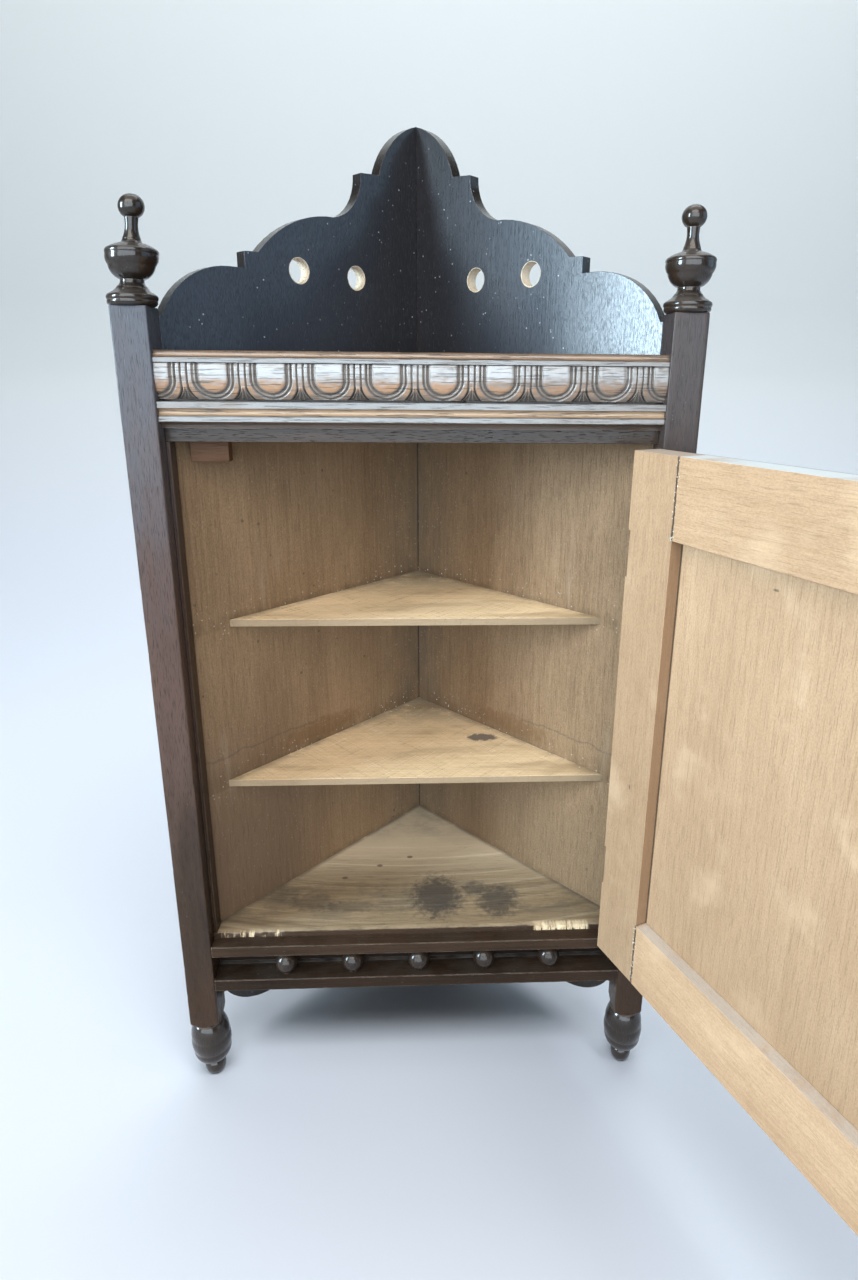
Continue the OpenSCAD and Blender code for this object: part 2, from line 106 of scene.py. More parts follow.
class Tree:
    """Builds one material's node tree. Each method returns an output socket."""

    def __init__(self, name):
        self.material = bpy.data.materials.new(name)
        self.material.use_nodes = True
        self.nodes = self.material.node_tree.nodes
        self.links = self.material.node_tree.links
        self.nodes.clear()
        self.point = self.node("TexCoord").outputs["Object"]
        self.normal = self.node("NewGeometry").outputs["Normal"]

    def node(self, kind, **settings):
        made = self.nodes.new("ShaderNode" + kind)
        for key, value in settings.items():
            setattr(made, key, value)
        return made

    def put(self, socket, value):
        if isinstance(value, bpy.types.NodeSocket):
            self.links.new(value, socket)
        else:
            socket.default_value = value

    def feed(self, node, *values):
        """Sets a node's first inputs and returns its first output."""
        for socket, value in zip(node.inputs, values):
            self.put(socket, value)
        return node.outputs[0]

    def fill(self, node, **values):
        """Sets a node's inputs by their names, written with _ for each space."""
        for key, value in values.items():
            self.put(node.inputs[key.replace("_", " ")], value)

    def math(self, operation, *values):
        return self.feed(self.node("Math", operation=operation), *values)

    def add(self, a, b):
        return self.math("ADD", a, b)

    def sub(self, a, b):
        return self.math("SUBTRACT", a, b)

    def mul(self, a, b):
        return self.math("MULTIPLY", a, b)

    def swing(self, noise, size):
        """Noise from 0 to 1 as a shift of up to half the size either way."""
        return self.mul(self.sub(noise, 0.5), size)

    def length(self, a, b):
        return self.math("SQRT", self.add(self.mul(a, a), self.mul(b, b)))

    def dot(self, vector, axis):
        made = self.node("VectorMath", operation="DOT_PRODUCT")
        self.feed(made, vector, axis)
        return made.outputs["Value"]

    def at(self, axis):
        """The point's place along the axis."""
        return self.dot(self.point, axis)

    def step(self, value, low, high, out_low=0.0, out_high=1.0):
        """Smooth step of the value from low to high, falling where low is the larger."""
        made = self.node("MapRange", interpolation_type="SMOOTHSTEP")
        return self.feed(made, value, low, high, out_low, out_high)

    def within(self, value, low, high, soft=0.2 * MM):
        """1 where the value lies between low and high, 0 outside."""
        return self.mul(self.step(value, low - soft, low + soft),
                        self.step(value, high + soft, high - soft))

    def grain(self, along, across, offset=0.0):
        """The point in the wood's own axes: along the fibres, across them, and into the board."""
        thick = Vector(along).cross(Vector(across))
        return [self.add(self.at(axis), offset) for axis in (along, across, thick)]

    def noise(self, axes, scales, detail=3.0, rough=0.55, distort=0.0):
        """Noise from 0 to 1 with its own number of features per metre on each axis."""
        made = self.node("TexNoise", noise_dimensions="3D")
        place = self.feed(self.node("CombineXYZ"), *[self.mul(a, s) for a, s in zip(axes, scales)])
        self.fill(made, Vector=place, Scale=1.0, Detail=detail, Roughness=rough, Distortion=distort)
        return made.outputs["Fac"]

    def cells(self, scale):
        """Distance to the nearest of scattered points, in cells."""
        made = self.node("TexVoronoi", feature="F1")
        self.fill(made, Vector=self.point, Scale=scale)
        return made.outputs["Distance"]

    def mix(self, factor, a, b):
        made = self.node("Mix", data_type="RGBA")
        self.put(made.inputs[0], factor)
        self.put(made.inputs[6], a if isinstance(a, bpy.types.NodeSocket) else (*a, 1))
        self.put(made.inputs[7], b if isinstance(b, bpy.types.NodeSocket) else (*b, 1))
        return made.outputs[2]

    def paint(self, layer, mask, colour):
        """Lays the colour over the layer's own where the mask is."""
        layer[0] = self.mix(mask, layer[0], colour)

    def dirt_and_painted_shading(self, layer, mask, strength, colour=(0.045, 0.036, 0.028)):
        """Lays a colour over the layer where the mask is: dirt, dust and stains, and at some callers
        painted shade or painted light.
        """
        self.paint(layer, self.mul(mask, strength), colour)
        layer[1] = self.add(layer[1], self.mul(mask, 0.1))
        return layer

    def blend(self, factor, a, b):
        """Mixes two layers of colour, roughness and height."""
        keep = self.sub(1.0, factor)
        pick = [self.add(self.mul(p, keep), self.mul(q, factor)) for p, q in zip(a[1:], b[1:])]
        return [self.mix(factor, a[0], b[0]), *pick]

    def ramp(self, value, *stops):
        """Colour along a list of (place, colour)."""
        made = self.node("ValToRGB")
        ramp = made.color_ramp
        while len(ramp.elements) < len(stops):
            ramp.elements.new(0.5)
        for element, (place, colour) in zip(ramp.elements, stops):
            element.position, element.color = place, (*colour, 1)
        return self.feed(made, value)

    def arris(self, radius=1.0 * MM):
        """0 on the flat, rising to 1 on an edge of the piece."""
        rounded = self.feed(self.node("Bevel", samples=6), radius)
        return self.step(self.dot(rounded, self.normal), 0.985, 0.80)

    def blot(self, axes, centre, radii, raggedness=0.5, soft=0.35):
        """A stain: 1 inside a ragged ellipse, fading to 0 outside."""
        reach = self.length(*[self.mul(self.sub(a, c), 1 / r) for a, c, r in zip(axes, centre, radii)])
        rag = self.noise([*axes, 0.0], (250, 250, 1), detail=4, rough=0.65)
        reach = self.add(reach, self.swing(rag, raggedness * 2))
        return self.step(reach, 1.0 + soft, 1.0 - soft)

    def surface(self, layer, bump=0.25 * MM, specular=0.5, coat=0.0, coat_rough=0.2, metal=0.0):
        """Ends the tree in a shader with the layer's colour, roughness and height."""
        shader = self.node("BsdfPrincipled")
        out = self.node("OutputMaterial")
        bumps = self.node("Bump")
        self.fill(bumps, Strength=1.0, Distance=bump, Height=layer[2])
        self.fill(shader, Base_Color=layer[0], Roughness=layer[1], Normal=bumps.outputs[0],
                  Specular_IOR_Level=specular, Coat_Weight=coat, Coat_Roughness=coat_rough,
                  Metallic=metal)
        self.links.new(shader.outputs[0], out.inputs["Surface"])
        return self.material


# ---------------- wood layers

def ebony_layer(t, along, across, tone=1.0, wear=0.6, offset=0.0, dust=0.25, rough=0.28,
                rubbed=(0.15, 0.085, 0.048)):
    """Oak stained and polished black, rubbed brown on its arrises."""
    axes = t.grain(along, across, offset)
    cloud = t.noise(axes, (12, 30, 30), detail=2)
    streak = t.noise(axes, (30, 700, 700), rough=0.6)
    pores = t.noise(axes, (160, 2600, 2600), detail=2, rough=0.5)
    pore = t.step(pores, 0.60, 0.70)
    black = t.ramp(t.add(t.mul(cloud, 0.6), t.mul(streak, 0.4)),
                   (0.30, [tone * c for c in (0.013, 0.008, 0.005)]),
                   (0.55, [tone * c for c in (0.026, 0.015, 0.009)]),
                   (0.78, [tone * c for c in (0.046, 0.028, 0.017)]))
    rub = t.noise(axes, (60, 260, 260), detail=4, rough=0.7)
    edge = t.mul(t.arris(), t.step(rub, 0.62 - 0.35 * wear, 0.80 - 0.35 * wear))
    colour = t.mix(t.mul(edge, 0.75), black, rubbed)
    speck = t.step(t.cells(420), 0.10, 0.05)
    speck = t.mul(speck, t.step(t.noise(axes, (45, 45, 45), detail=2), 0.50, 0.66))
    colour = t.mix(t.mul(speck, 0.55), colour, (0.30, 0.28, 0.26))
    level = t.step(t.dot(t.normal, Z), 0.55, 0.95)
    film = t.mul(level, t.step(t.noise(axes, (90, 90, 90)), 0.25, 0.75))
    colour = t.mix(t.mul(film, dust), colour, (0.22, 0.20, 0.18))
    roughness = t.add(t.add(rough, t.mul(cloud, 0.14)), t.mul(film, 0.25))
    roughness = t.add(roughness, t.mul(edge, 0.15))
    height = t.sub(t.mul(streak, 0.25), t.mul(pore, 0.55))
    return [colour, roughness, height]


def oak_layer(t, along, across, dark, light, offset=0.0, pale=1.0, figure=1.0, rough=0.55,
              open_pores=0.3, grit=0.14):
    """Bare oak: bands of tone, fine streaks, and dark open pores along the fibres."""
    dark, light = ([pale * c for c in colour] for colour in (dark, light))
    axes = t.grain(along, across, offset)
    bands = t.noise(axes, (2.2, 42, 42), rough=0.55, distort=0.4)
    cloud = t.noise(axes, (14, 24, 24))
    streak = t.noise(axes, (22, 620, 620), detail=4, rough=0.65)
    fine = t.noise(axes, (95, 2500, 2500), detail=2, rough=0.6)
    tooth = t.noise(axes, (900, 1500, 1500), detail=2, rough=0.7)
    tone = t.add(t.mul(bands, 0.42 * figure), t.mul(cloud, 0.30))
    tone = t.add(tone, t.mul(streak, 0.58 - 0.42 * figure + 0.12))
    colour = t.ramp(tone, (0.28, dark), (0.72, light))
    pore = t.step(fine, 0.57, 0.68)
    colour = t.mix(t.mul(pore, open_pores), colour, [c * 0.42 for c in dark])
    fleck = t.step(fine, 0.40, 0.30)
    colour = t.mix(t.mul(fleck, 0.7 * open_pores), colour, [min(1.0, c * 1.25) for c in light])
    colour = t.mix(t.mul(t.step(tooth, 0.42, 0.62), grit), colour, [c * 0.75 for c in dark])
    roughness = t.add(rough, t.mul(streak, 0.16))
    height = t.sub(t.mul(streak, 0.35), t.mul(pore, 1.6 * open_pores))
    return [colour, roughness, height]


# ---------------- materials

def ebonised(name, along, look, **wood):
    """Plain ebonised wood. look is for the shader and wood for the layer."""
    t = Tree(name)
    across = X if along == Z else Z
    return t.surface(ebony_layer(t, along, across, **wood), **look)


def post_material(name, bloom_and_sheen):
    """A post with painted reflection along its height: bluish grey bloom and painted sheen at its top,
    brown lower down, and darkest at its foot as painted shade.
    """
    t = Tree(name)
    layer = ebony_layer(t, Z, X, tone=1.3, wear=0.75, offset=0.3, rough=0.20)
    axes = t.grain(Z, X, 0.3)
    patchy = t.add(t.at(Z), t.swing(t.noise(axes, (25, 90, 90), detail=4), 0.12))
    # Painted shade at the foot, a painted brown reflection above it, and bluish grey painted sheen at
    # the top.
    t.paint(layer, t.step(patchy, 0.04, 0.14, 0.6, 0.0), (0.030, 0.013, 0.005))
    t.paint(layer, t.step(patchy, 0.12, 0.24, 0.0, 0.65 * bloom_and_sheen), (0.092, 0.055, 0.044))
    t.paint(layer, t.step(patchy, 0.26, 0.44, 0.0, 0.8 * bloom_and_sheen), (0.062, 0.072, 0.088))
    pores = t.noise(axes, (160, 2200, 2200), rough=0.6)
    t.paint(layer, t.step(pores, 0.52, 0.66, 0.0, 0.6), (0.010, 0.007, 0.006))
    return t.surface(layer, bump=0.15 * MM, specular=0.22)


def black_board(t, side, along, s, z, depth):
    """The black of a back board, with bloom and painted sheen on the gallery, fainter towards the
    corner, and dust.
    """
    black = ebony_layer(t, Z, along, tone=0.3, wear=0.45, offset=side * 0.7, dust=0.4)
    # Bluish grey painted sheen standing in for reflected room light, fainter near the corner and kept to
    # the gallery.
    bloom_and_sheen = t.mul(t.step(s, 5 * MM, 90 * MM, 0.3, 0.75), t.step(z, CEILING, CEILING + 10 * MM))
    bloom_and_sheen = t.mul(bloom_and_sheen, t.step(depth, 0.5 * MM, 0.3 * MM))
    t.paint(black, bloom_and_sheen, (0.023, 0.027, 0.037))
    dusty = t.mul(t.step(t.cells(240), 0.13, 0.06), t.step(t.noise([s, z, 0.0], (40, 40, 1)), 0.45, 0.6))
    t.paint(black, t.mul(dusty, 0.6), (0.42, 0.44, 0.47))
    return black


def bare_board(t, side, along, s, z, murk):
    """The bare oak of a back board, darker in the corner, with painted shade at the top under the
    frieze, darker low down, and painted shade on the left board's outer lower part.
    """
    bare = oak_layer(t, Z, along, (0.125, 0.074, 0.039), (0.265, 0.170, 0.094), side * 1.3,
                     0.97 if side > 0 else 0.98, figure=0.7, open_pores=0.2, grit=0.35)
    # Darker towards the corner.
    corner = t.step(s, 45 * MM, 2 * MM)
    t.dirt_and_painted_shading(bare, t.mul(corner, t.step(murk, 0.30, 0.62)), 0.45, (0.085, 0.072, 0.052))
    # Painted shade at the top of the board, under the frieze.
    t.dirt_and_painted_shading(bare, t.step(z, CEILING - 70 * MM, CEILING), 0.25)
    joint = t.mul(t.step(s, 0.9 * MM, 0.4 * MM), t.step(murk, 0.30, 0.45))
    t.dirt_and_painted_shading(bare, joint, 0.8)
    spots = t.mul(t.step(t.cells(90), 0.10, 0.05), t.step(murk, 0.45, 0.6))
    t.dirt_and_painted_shading(bare, spots, 0.6, (0.05, 0.035, 0.025))
    # Darker low down on the right board; painted shade on the left board's outer lower part.
    if side > 0:
        return t.dirt_and_painted_shading(bare, t.step(z, 200 * MM, 110 * MM), 0.35, (0.10, 0.070, 0.042))
    shaded = t.mul(t.step(s, 70 * MM, 120 * MM), t.step(z, 260 * MM, 130 * MM))
    return t.dirt_and_painted_shading(bare, shaded, 0.75, (0.085, 0.052, 0.032))


def shelf_marks(t, bare, s, z, murk):
    """Marks near the shelves on a board: darker bands just above each shelf, a tide line, a spill, pale
    streaks and lint.
    """
    # A darker band just above each shelf.
    for top, reach in ((UPPER_SHELF_TOP, 5), (LOWER_SHELF_TOP, 14), (FLOOR_TOP, 5)):
        above = t.mul(t.step(z, top - 6 * MM, top - 4 * MM),
                      t.step(z, top + reach * MM, top + 0.5 * MM))
        t.dirt_and_painted_shading(bare, t.mul(above, t.step(murk, 0.35, 0.60)), 0.42, (0.090, 0.055, 0.028))
    wavy = t.add(z, t.swing(murk, 9 * MM))
    tide = t.within(wavy, LOWER_SHELF_TOP + 14 * MM, LOWER_SHELF_TOP + 15 * MM, soft=0.6 * MM)
    t.dirt_and_painted_shading(bare, t.mul(tide, t.step(s, 70 * MM, 100 * MM)), 0.5, (0.07, 0.05, 0.035))
    spill = t.blot([s, z], (82 * MM, LOWER_SHELF_TOP + 8 * MM), (26 * MM, 6 * MM), 0.8)
    t.dirt_and_painted_shading(bare, spill, 0.45, (0.11, 0.055, 0.020))
    pale = t.step(t.noise([s, z, 0.0], (60, 8, 1)), 0.60, 0.80)
    t.dirt_and_painted_shading(bare, pale, 0.22, (0.36, 0.29, 0.21))
    lint = t.mul(t.step(t.cells(330), 0.17, 0.09), t.step(s, 1 * MM, 60 * MM, 1.0, 0.35))
    from_lower, from_upper = (t.math("ABSOLUTE", t.sub(z, top))
                              for top in (LOWER_SHELF_TOP, UPPER_SHELF_TOP))
    near_shelf = t.step(t.math("MINIMUM", from_lower, from_upper), 2 * MM, 14 * MM, 1.0, 0.22)
    return t.dirt_and_painted_shading(bare, t.mul(lint, near_shelf), 0.9, (0.62, 0.60, 0.56))


def board_material(side):
    """A back board: black outside and in the gallery, bare oak inside the cupboard."""
    t = Tree("board_oak_" + ("left" if side < 0 else "right"))
    along, outwards = Vector((side * SQ, -SQ, 0)), Vector((side * SQ, SQ, 0))
    s = t.add(t.at(along), INNER_Y * SQ)
    depth = t.sub(t.at(outwards), INNER_Y * SQ)
    z = t.at(Z)
    murk = t.noise([s, z, 0.0], (60, 30, 1), detail=4, rough=0.7)
    black = black_board(t, side, along, s, z, depth)
    bare = shelf_marks(t, bare_board(t, side, along, s, z, murk), s, z, murk)
    inside = t.mul(t.step(depth, 0.5 * MM, 0.3 * MM),
                   t.within(z, FLOOR_TOP - 6 * MM, CEILING + 3 * MM, 0.5 * MM))
    reaches = [t.length(t.sub(s, at), t.sub(z, HOLE_Z)) for at in HOLES]
    ragged = t.add(t.math("MINIMUM", *reaches), t.swing(murk, 1.2 * MM))
    hole = t.step(ragged, HOLE_R + 0.45 * MM, HOLE_R + 0.15 * MM)
    sawn = oak_layer(t, Z, along, (0.34, 0.27, 0.19), (0.66, 0.56, 0.43), offset=4.0)
    layer = t.blend(hole, t.blend(inside, black, bare), sawn)
    polish = t.sub(0.75, t.mul(t.math("MAXIMUM", inside, hole), 0.75))
    sparkle = t.noise(t.grain(Z, along, 0.7), (500, 1500, 1500), rough=0.7)
    polish = t.mul(polish, t.step(sparkle, 0.38, 0.60, 0.35, 1.0))
    return t.surface(layer, bump=0.34 * MM, specular=0.2, coat=polish, coat_rough=0.2)


def to_wall(t, x, y):
    """Distance from the nearer back board's inner face."""
    return t.mul(t.sub(t.sub(INNER_Y, y), t.math("ABSOLUTE", x)), SQ)


def shelf_material(name, offset, blots, pale):
    """Thin bare oak with diagonal saw marks, darker towards the walls, the back corner and its front
    edge, with painted shade on its underside.
    """
    t = Tree(name)
    layer = oak_layer(t, X, Y, (0.46, 0.325, 0.18), (0.74, 0.555, 0.35), offset, pale, figure=0.6)
    x, y = t.at(X), t.at(Y)
    diagonal = t.grain((SQ, SQ, 0), (SQ, -SQ, 0), offset)
    saw = t.noise(diagonal, (30, 1300, 400), detail=2, rough=0.5)
    cross = t.noise(diagonal, (1200, 30, 400), detail=2, rough=0.5)
    cut = t.add(t.swing(saw, 0.5), t.swing(cross, 0.4))
    t.paint(layer, t.step(cut, 0.02, 0.22), (0.33, 0.235, 0.14))
    t.paint(layer, t.step(cut, -0.04, -0.22), (0.76, 0.62, 0.44))
    layer[2] = t.add(layer[2], t.mul(cut, -1.0))
    murk = t.noise([x, y, 0.0], (38, 60, 1), detail=4, rough=0.7)
    # Darker along the walls and towards the back corner.
    ledge = t.step(to_wall(t, x, y), 7 * MM, 0.5 * MM)
    t.dirt_and_painted_shading(layer, t.mul(ledge, t.step(murk, 0.35, 0.6)), 0.55, (0.13, 0.105, 0.075))
    corner = t.step(y, INNER_Y - 60 * MM, INNER_Y - 8 * MM)
    t.dirt_and_painted_shading(layer, t.mul(corner, t.step(murk, 0.25, 0.5)), 0.75, (0.21, 0.18, 0.13))
    smear = t.noise([x, y, 0.0], (9, 42, 1), distort=0.8)
    t.dirt_and_painted_shading(layer, t.step(smear, 0.52, 0.68), 0.5, (0.24, 0.155, 0.08))
    for centre, radii, strength in blots:
        t.dirt_and_painted_shading(layer, t.blot([x, y], centre, radii, 0.75, 0.22), strength, (0.07, 0.058, 0.060))
    lint = t.mul(t.step(t.cells(300), 0.16, 0.09), t.math("MAXIMUM", ledge, corner))
    t.dirt_and_painted_shading(layer, lint, 0.9, (0.75, 0.73, 0.70))
    # Painted shade on the faces turned down.
    under = t.step(t.dot(t.normal, Z), -0.2, -0.5)
    t.dirt_and_painted_shading(layer, under, 0.35, (0.12, 0.085, 0.055))
    # Darker on the faces turned to the front.
    front = t.step(t.dot(t.normal, Y), -0.6, -0.9)
    t.dirt_and_painted_shading(layer, front, 0.9, (0.20, 0.142, 0.086))
    return t.surface(layer, bump=0.15 * MM, specular=0.3)


# Floor stains: place, size and strength of each, in metres.
INK_BLOTS = (
    ((0.011, -0.101), (0.014, 0.016), 0.80), ((0.047, -0.106), (0.011, 0.012), 0.72),
    ((0.034, -0.095), (0.007, 0.006), 0.45), ((-0.062, -0.104), (0.012, 0.007), 0.40),
    ((-0.040, -0.108), (0.016, 0.004), 0.42), ((-0.082, -0.097), (0.009, 0.006), 0.30))
INK_SPOTS = ((-0.006, -0.064), (-0.025, -0.072), (0.008, -0.119), (-0.046, -0.083))
# Each chip: from x, to x, how far back it reaches, and the noise above which it is splintered.
CHIPS = ((66 * MM, 97 * MM, 3.2 * MM, 0.40), (-110 * MM, -74 * MM, 1.6 * MM, 0.50))


def stained_floor(t, x, y, murk):
    """The floor's bare oak, with its rings, its dirt, its ink stains, and painted light that makes it
    paler towards the back.
    """
    layer = oak_layer(t, X, Y, (0.110, 0.076, 0.042), (0.31, 0.225, 0.134), offset=2.1, figure=0.5)
    bend = t.add(y, t.mul(t.mul(x, x), -1.1))
    rings = t.noise([t.mul(x, 0.25), bend, 0.0], (14, 210, 1), rough=0.6, distort=0.3)
    heart = t.step(y, -86 * MM, -62 * MM)
    late = t.mul(t.step(rings, 0.52, 0.66), t.add(0.22, t.mul(heart, 0.55)))
    t.paint(layer, late, (0.50, 0.44, 0.33))
    t.paint(layer, t.mul(t.step(rings, 0.46, 0.34), 0.5), (0.085, 0.066, 0.042))
    # Painted light: the floor turns paler towards the back.
    t.dirt_and_painted_shading(layer, t.step(y, -95 * MM, -45 * MM), 0.8, (0.62, 0.51, 0.36))
    grey = t.mul(t.step(y, -60 * MM, -25 * MM), t.step(murk, 0.35, 0.6))
    t.dirt_and_painted_shading(layer, grey, 0.4, (0.20, 0.18, 0.14))
    damp = t.mul(t.within(y, -118 * MM, -88 * MM, soft=7 * MM), t.step(murk, 0.46, 0.62))
    t.dirt_and_painted_shading(layer, damp, 0.42, (0.085, 0.070, 0.048))
    for centre, radii, strength in INK_BLOTS:
        blot = t.blot([x, y], centre, radii, 0.95, 0.45)
        t.dirt_and_painted_shading(layer, blot, strength, (0.028, 0.024, 0.022))
    for centre in INK_SPOTS:
        spot = t.blot([x, y], centre, (1.8 * MM, 1.2 * MM), 0.3)
        t.dirt_and_painted_shading(layer, spot, 0.7, (0.05, 0.035, 0.022))
    ledge = t.step(to_wall(t, x, y), 3 * MM, 0.3 * MM)
    return t.dirt_and_painted_shading(layer, t.mul(ledge, t.step(murk, 0.3, 0.5)), 0.6, (0.07, 0.06, 0.045))


def floor_material():
    """The floor board: grey-brown, with ink stains, a dark front edge and two fresh chips."""
    t = Tree("floor_oak_stained")
    x, y, z = (t.at(axis) for axis in (X, Y, Z))
    murk = t.noise([x, y, 0.0], (40, 55, 1), detail=5, rough=0.7)
    layer = stained_floor(t, x, y, murk)
    lip = t.step(y, FLOOR_FRONT + 4 * MM, FLOOR_FRONT + 2.2 * MM)
    t.dirt_and_painted_shading(layer, t.mul(lip, t.step(murk, 0.35, 0.6)), 0.45, (0.42, 0.33, 0.22))
    ragged = t.add(y, t.swing(murk, 2.4 * MM))
    front = t.step(ragged, FLOOR_FRONT + 0.9 * MM, FLOOR_FRONT + 0.3 * MM)
    layer = t.blend(front, layer, ebony_layer(t, X, Z, tone=1.5, wear=0.5, offset=3.0))
    fresh = oak_layer(t, Z, X, (0.36, 0.26, 0.15), (0.62, 0.50, 0.33), offset=5.0, figure=0.4)
    splinter = t.noise([x, y, z], (700, 90, 90), rough=0.6)
    for low, high, reach, splintered in CHIPS:
        hit = t.mul(t.within(t.add(x, t.swing(murk, 8 * MM)), low, high, soft=1.0 * MM),
                    t.step(ragged, FLOOR_FRONT + reach * 1.6, FLOOR_FRONT + reach * 0.9))
        hit = t.mul(hit, t.step(splinter, splintered, splintered + 0.12))
        layer = t.blend(hit, layer, fresh)
    return t.surface(layer, bump=0.25 * MM, specular=0.35)


def door_seams(t, bare, joints, w, z, out, murk):
    """Dark cracks with pale crumbs in them, where the rails meet the stiles."""
    wobble = t.swing(t.noise([w, z, out], (300, 700, 300), detail=4), 1.4 * MM)
    for low, high, at in joints:
        seam = t.mul(t.within(t.add(w, wobble), at - 0.5 * MM, at + 0.5 * MM, soft=0.3 * MM),
                     t.within(z, low, high, soft=1 * MM))
        t.dirt_and_painted_shading(bare, t.mul(seam, t.step(murk, 0.2, 0.45)), 0.95, (0.030, 0.022, 0.016))
        crumbs = t.mul(t.step(t.cells(700), 0.30, 0.18),
                       t.within(w, at - 1.2 * MM, at + 1.2 * MM, soft=0.4 * MM))
        t.dirt_and_painted_shading(bare, t.mul(crumbs, t.within(z, low, high)), 0.6, (0.66, 0.63, 0.58))
    return bare


def door_dirt_and_shade(t, bare, joints, w):
    """Dirt and painted shade on the frame's inner sides or, without joints, a dark line where the panel
    enters its groove.
    """
    if joints:
        # The frame's inner side faces are darkened: dirt and painted shade.
        inner = t.within(w, STILE_W - MM, DOOR_W - STILE_W + MM)
        side = t.step(t.math("ABSOLUTE", t.dot(t.normal, DOOR_ALONG)), 0.75, 0.95)
        return t.dirt_and_painted_shading(bare, t.mul(side, inner), 0.45, (0.150, 0.080, 0.040))
    from_middle = t.math("ABSOLUTE", t.sub(w, DOOR_W / 2))
    groove = t.step(from_middle, DOOR_W / 2 - STILE_W - 1.1 * MM, DOOR_W / 2 - STILE_W - 0.6 * MM)
    return t.dirt_and_painted_shading(bare, groove, 0.85, (0.045, 0.032, 0.020))


def bare_door(t, grain, offset, pale, low, joints, w, z, out):
    """The door's bare oak, worn pale in places, darker towards its foot, dusty on top."""
    bare = oak_layer(t, *grain, (0.255, 0.152, 0.081), (0.425, 0.283, 0.169), offset, pale,
                     figure=0.8, rough=0.50, open_pores=0.20, grit=0.30)
    murk = t.noise([w, z, out], (45, 25, 45), detail=4, rough=0.65)
    t.dirt_and_painted_shading(bare, t.step(murk, 0.52, 0.75), 0.30, (0.25, 0.150, 0.080))
    cloud = t.noise([w, z, out], (28, 28, 28), rough=0.6)
    t.dirt_and_painted_shading(bare, t.step(cloud, 0.48, 0.25), 0.35, (0.56, 0.40, 0.255))
    # Darker towards the foot.
    t.dirt_and_painted_shading(bare, t.step(z, 340 * MM, 80 * MM), low, (0.18, 0.110, 0.060))
    bare = door_seams(t, bare, joints, w, z, out, murk)
    bare = door_dirt_and_shade(t, bare, joints, w)
    for at_w, at_z, long_w, long_z in ((62, 330, 0.4, 1.0), (78, 322, 1.2, 0.5), (15, 205, 0.5, 1.3)):
        mark = t.blot([w, z], (at_w * MM, at_z * MM), (long_w * MM, long_z * MM), 0.25)
        t.dirt_and_painted_shading(bare, mark, 0.75, (0.07, 0.05, 0.035))
    level = t.mul(t.step(t.dot(t.normal, Z), 0.6, 0.9), t.step(w, STILE_W, STILE_W + 3 * MM, 0.3, 1.0))
    high_up = t.step(z, 200 * MM, 300 * MM, 0.35, 0.85)
    film = t.mul(t.mul(level, high_up), t.step(murk, 0.2, 0.5))
    return t.dirt_and_painted_shading(bare, film, 1.0, (0.48, 0.54, 0.56))


def door_material(name, along, across, offset, pale, low=0.40, joints=()):
    """The door: bare oak inside, ebonised on its front face. low is how dark its foot is."""
    t = Tree(name)
    out = t.sub(t.at(DOOR_OUT), DOOR_FACE)
    w = t.sub(t.at(DOOR_ALONG), DOOR_ALONG.dot(HINGE_AT) + DOOR_EDGE)
    z = t.at(Z)
    bare = bare_door(t, (along, across), offset, pale, low, joints, w, z, out)
    black = ebony_layer(t, along, across, tone=1.0, wear=0.6, offset=offset)
    # The frame is black on its face only, the panel and the sides of its opening further back.
    opening = t.mul(t.within(w, STILE_W - 0.6 * MM, DOOR_W - STILE_W + 0.6 * MM),
                    t.within(z, DOOR_Z0 + BOTTOM_RAIL_W - 0.6 * MM, DOOR_Z1 - TOP_RAIL_W + 0.6 * MM))
    front = t.step(t.add(out, t.mul(opening, PANEL_MIDDLE)), -1.2 * MM, -0.6 * MM)
    return t.surface(t.blend(front, bare, black), bump=0.2 * MM, specular=0.3)


def pine_in_painted_shade():
    """Softwood darkened to deep brown as painted shade, for what is hidden behind the frieze."""
    t = Tree("pine_block_painted_shade")
    # Painted shade: these colours are far darker than the wood, for the shadow of the frieze.
    layer = oak_layer(t, X, Z, (0.058, 0.024, 0.008), (0.100, 0.044, 0.017), offset=1.0, figure=0.5)
    return t.surface(layer, bump=0.15 * MM, specular=0.3)


def brass_material():
    """Dulled brass: brown patina, brighter where the arrises rub."""
    t = Tree("hinge_brass_aged")
    axes = t.grain(Z, X)
    cloud = t.noise(axes, (300, 300, 300), detail=4, rough=0.65)
    colour = t.ramp(cloud, (0.30, (0.12, 0.075, 0.03)), (0.62, (0.42, 0.28, 0.10)))
    colour = t.mix(t.mul(t.arris(0.5 * MM), 0.6), colour, (0.72, 0.53, 0.24))
    fine = t.noise(axes, (2500, 600, 600), detail=2)
    roughness = t.step(cloud, 0.2, 0.8, 0.55, 0.30)
    return t.surface([colour, roughness, fine], bump=0.04 * MM, metal=1.0)


def steel_material():
    """Rusty steel, for screws and nails."""
    t = Tree("screw_steel_aged")
    axes = t.grain(Z, X)
    cloud = t.noise(axes, (500, 500, 500), detail=4, rough=0.65)
    colour = t.ramp(cloud, (0.35, (0.09, 0.055, 0.035)), (0.65, (0.30, 0.29, 0.28)))
    roughness = t.step(cloud, 0.2, 0.8, 0.6, 0.35)
    return t.surface([colour, roughness, cloud], bump=0.05 * MM, metal=1.0)


def paper_material():
    """The pale paper that the cupboard stands on and before."""
    t = Tree("paper_sweep")
    axes = t.grain(X, Y)
    fibre = t.noise(axes, (900, 900, 900))
    rise = t.step(t.at(Z), 0.0, 0.5)
    colour = t.mix(rise, (0.64, 0.70, 0.79), (0.69, 0.745, 0.76))
    colour = t.mix(t.mul(fibre, 0.06), colour, (0.6, 0.6, 0.6))
    return t.surface([colour, 0.8, fibre], bump=0.03 * MM, specular=0.1)


# ---------------- mesh work

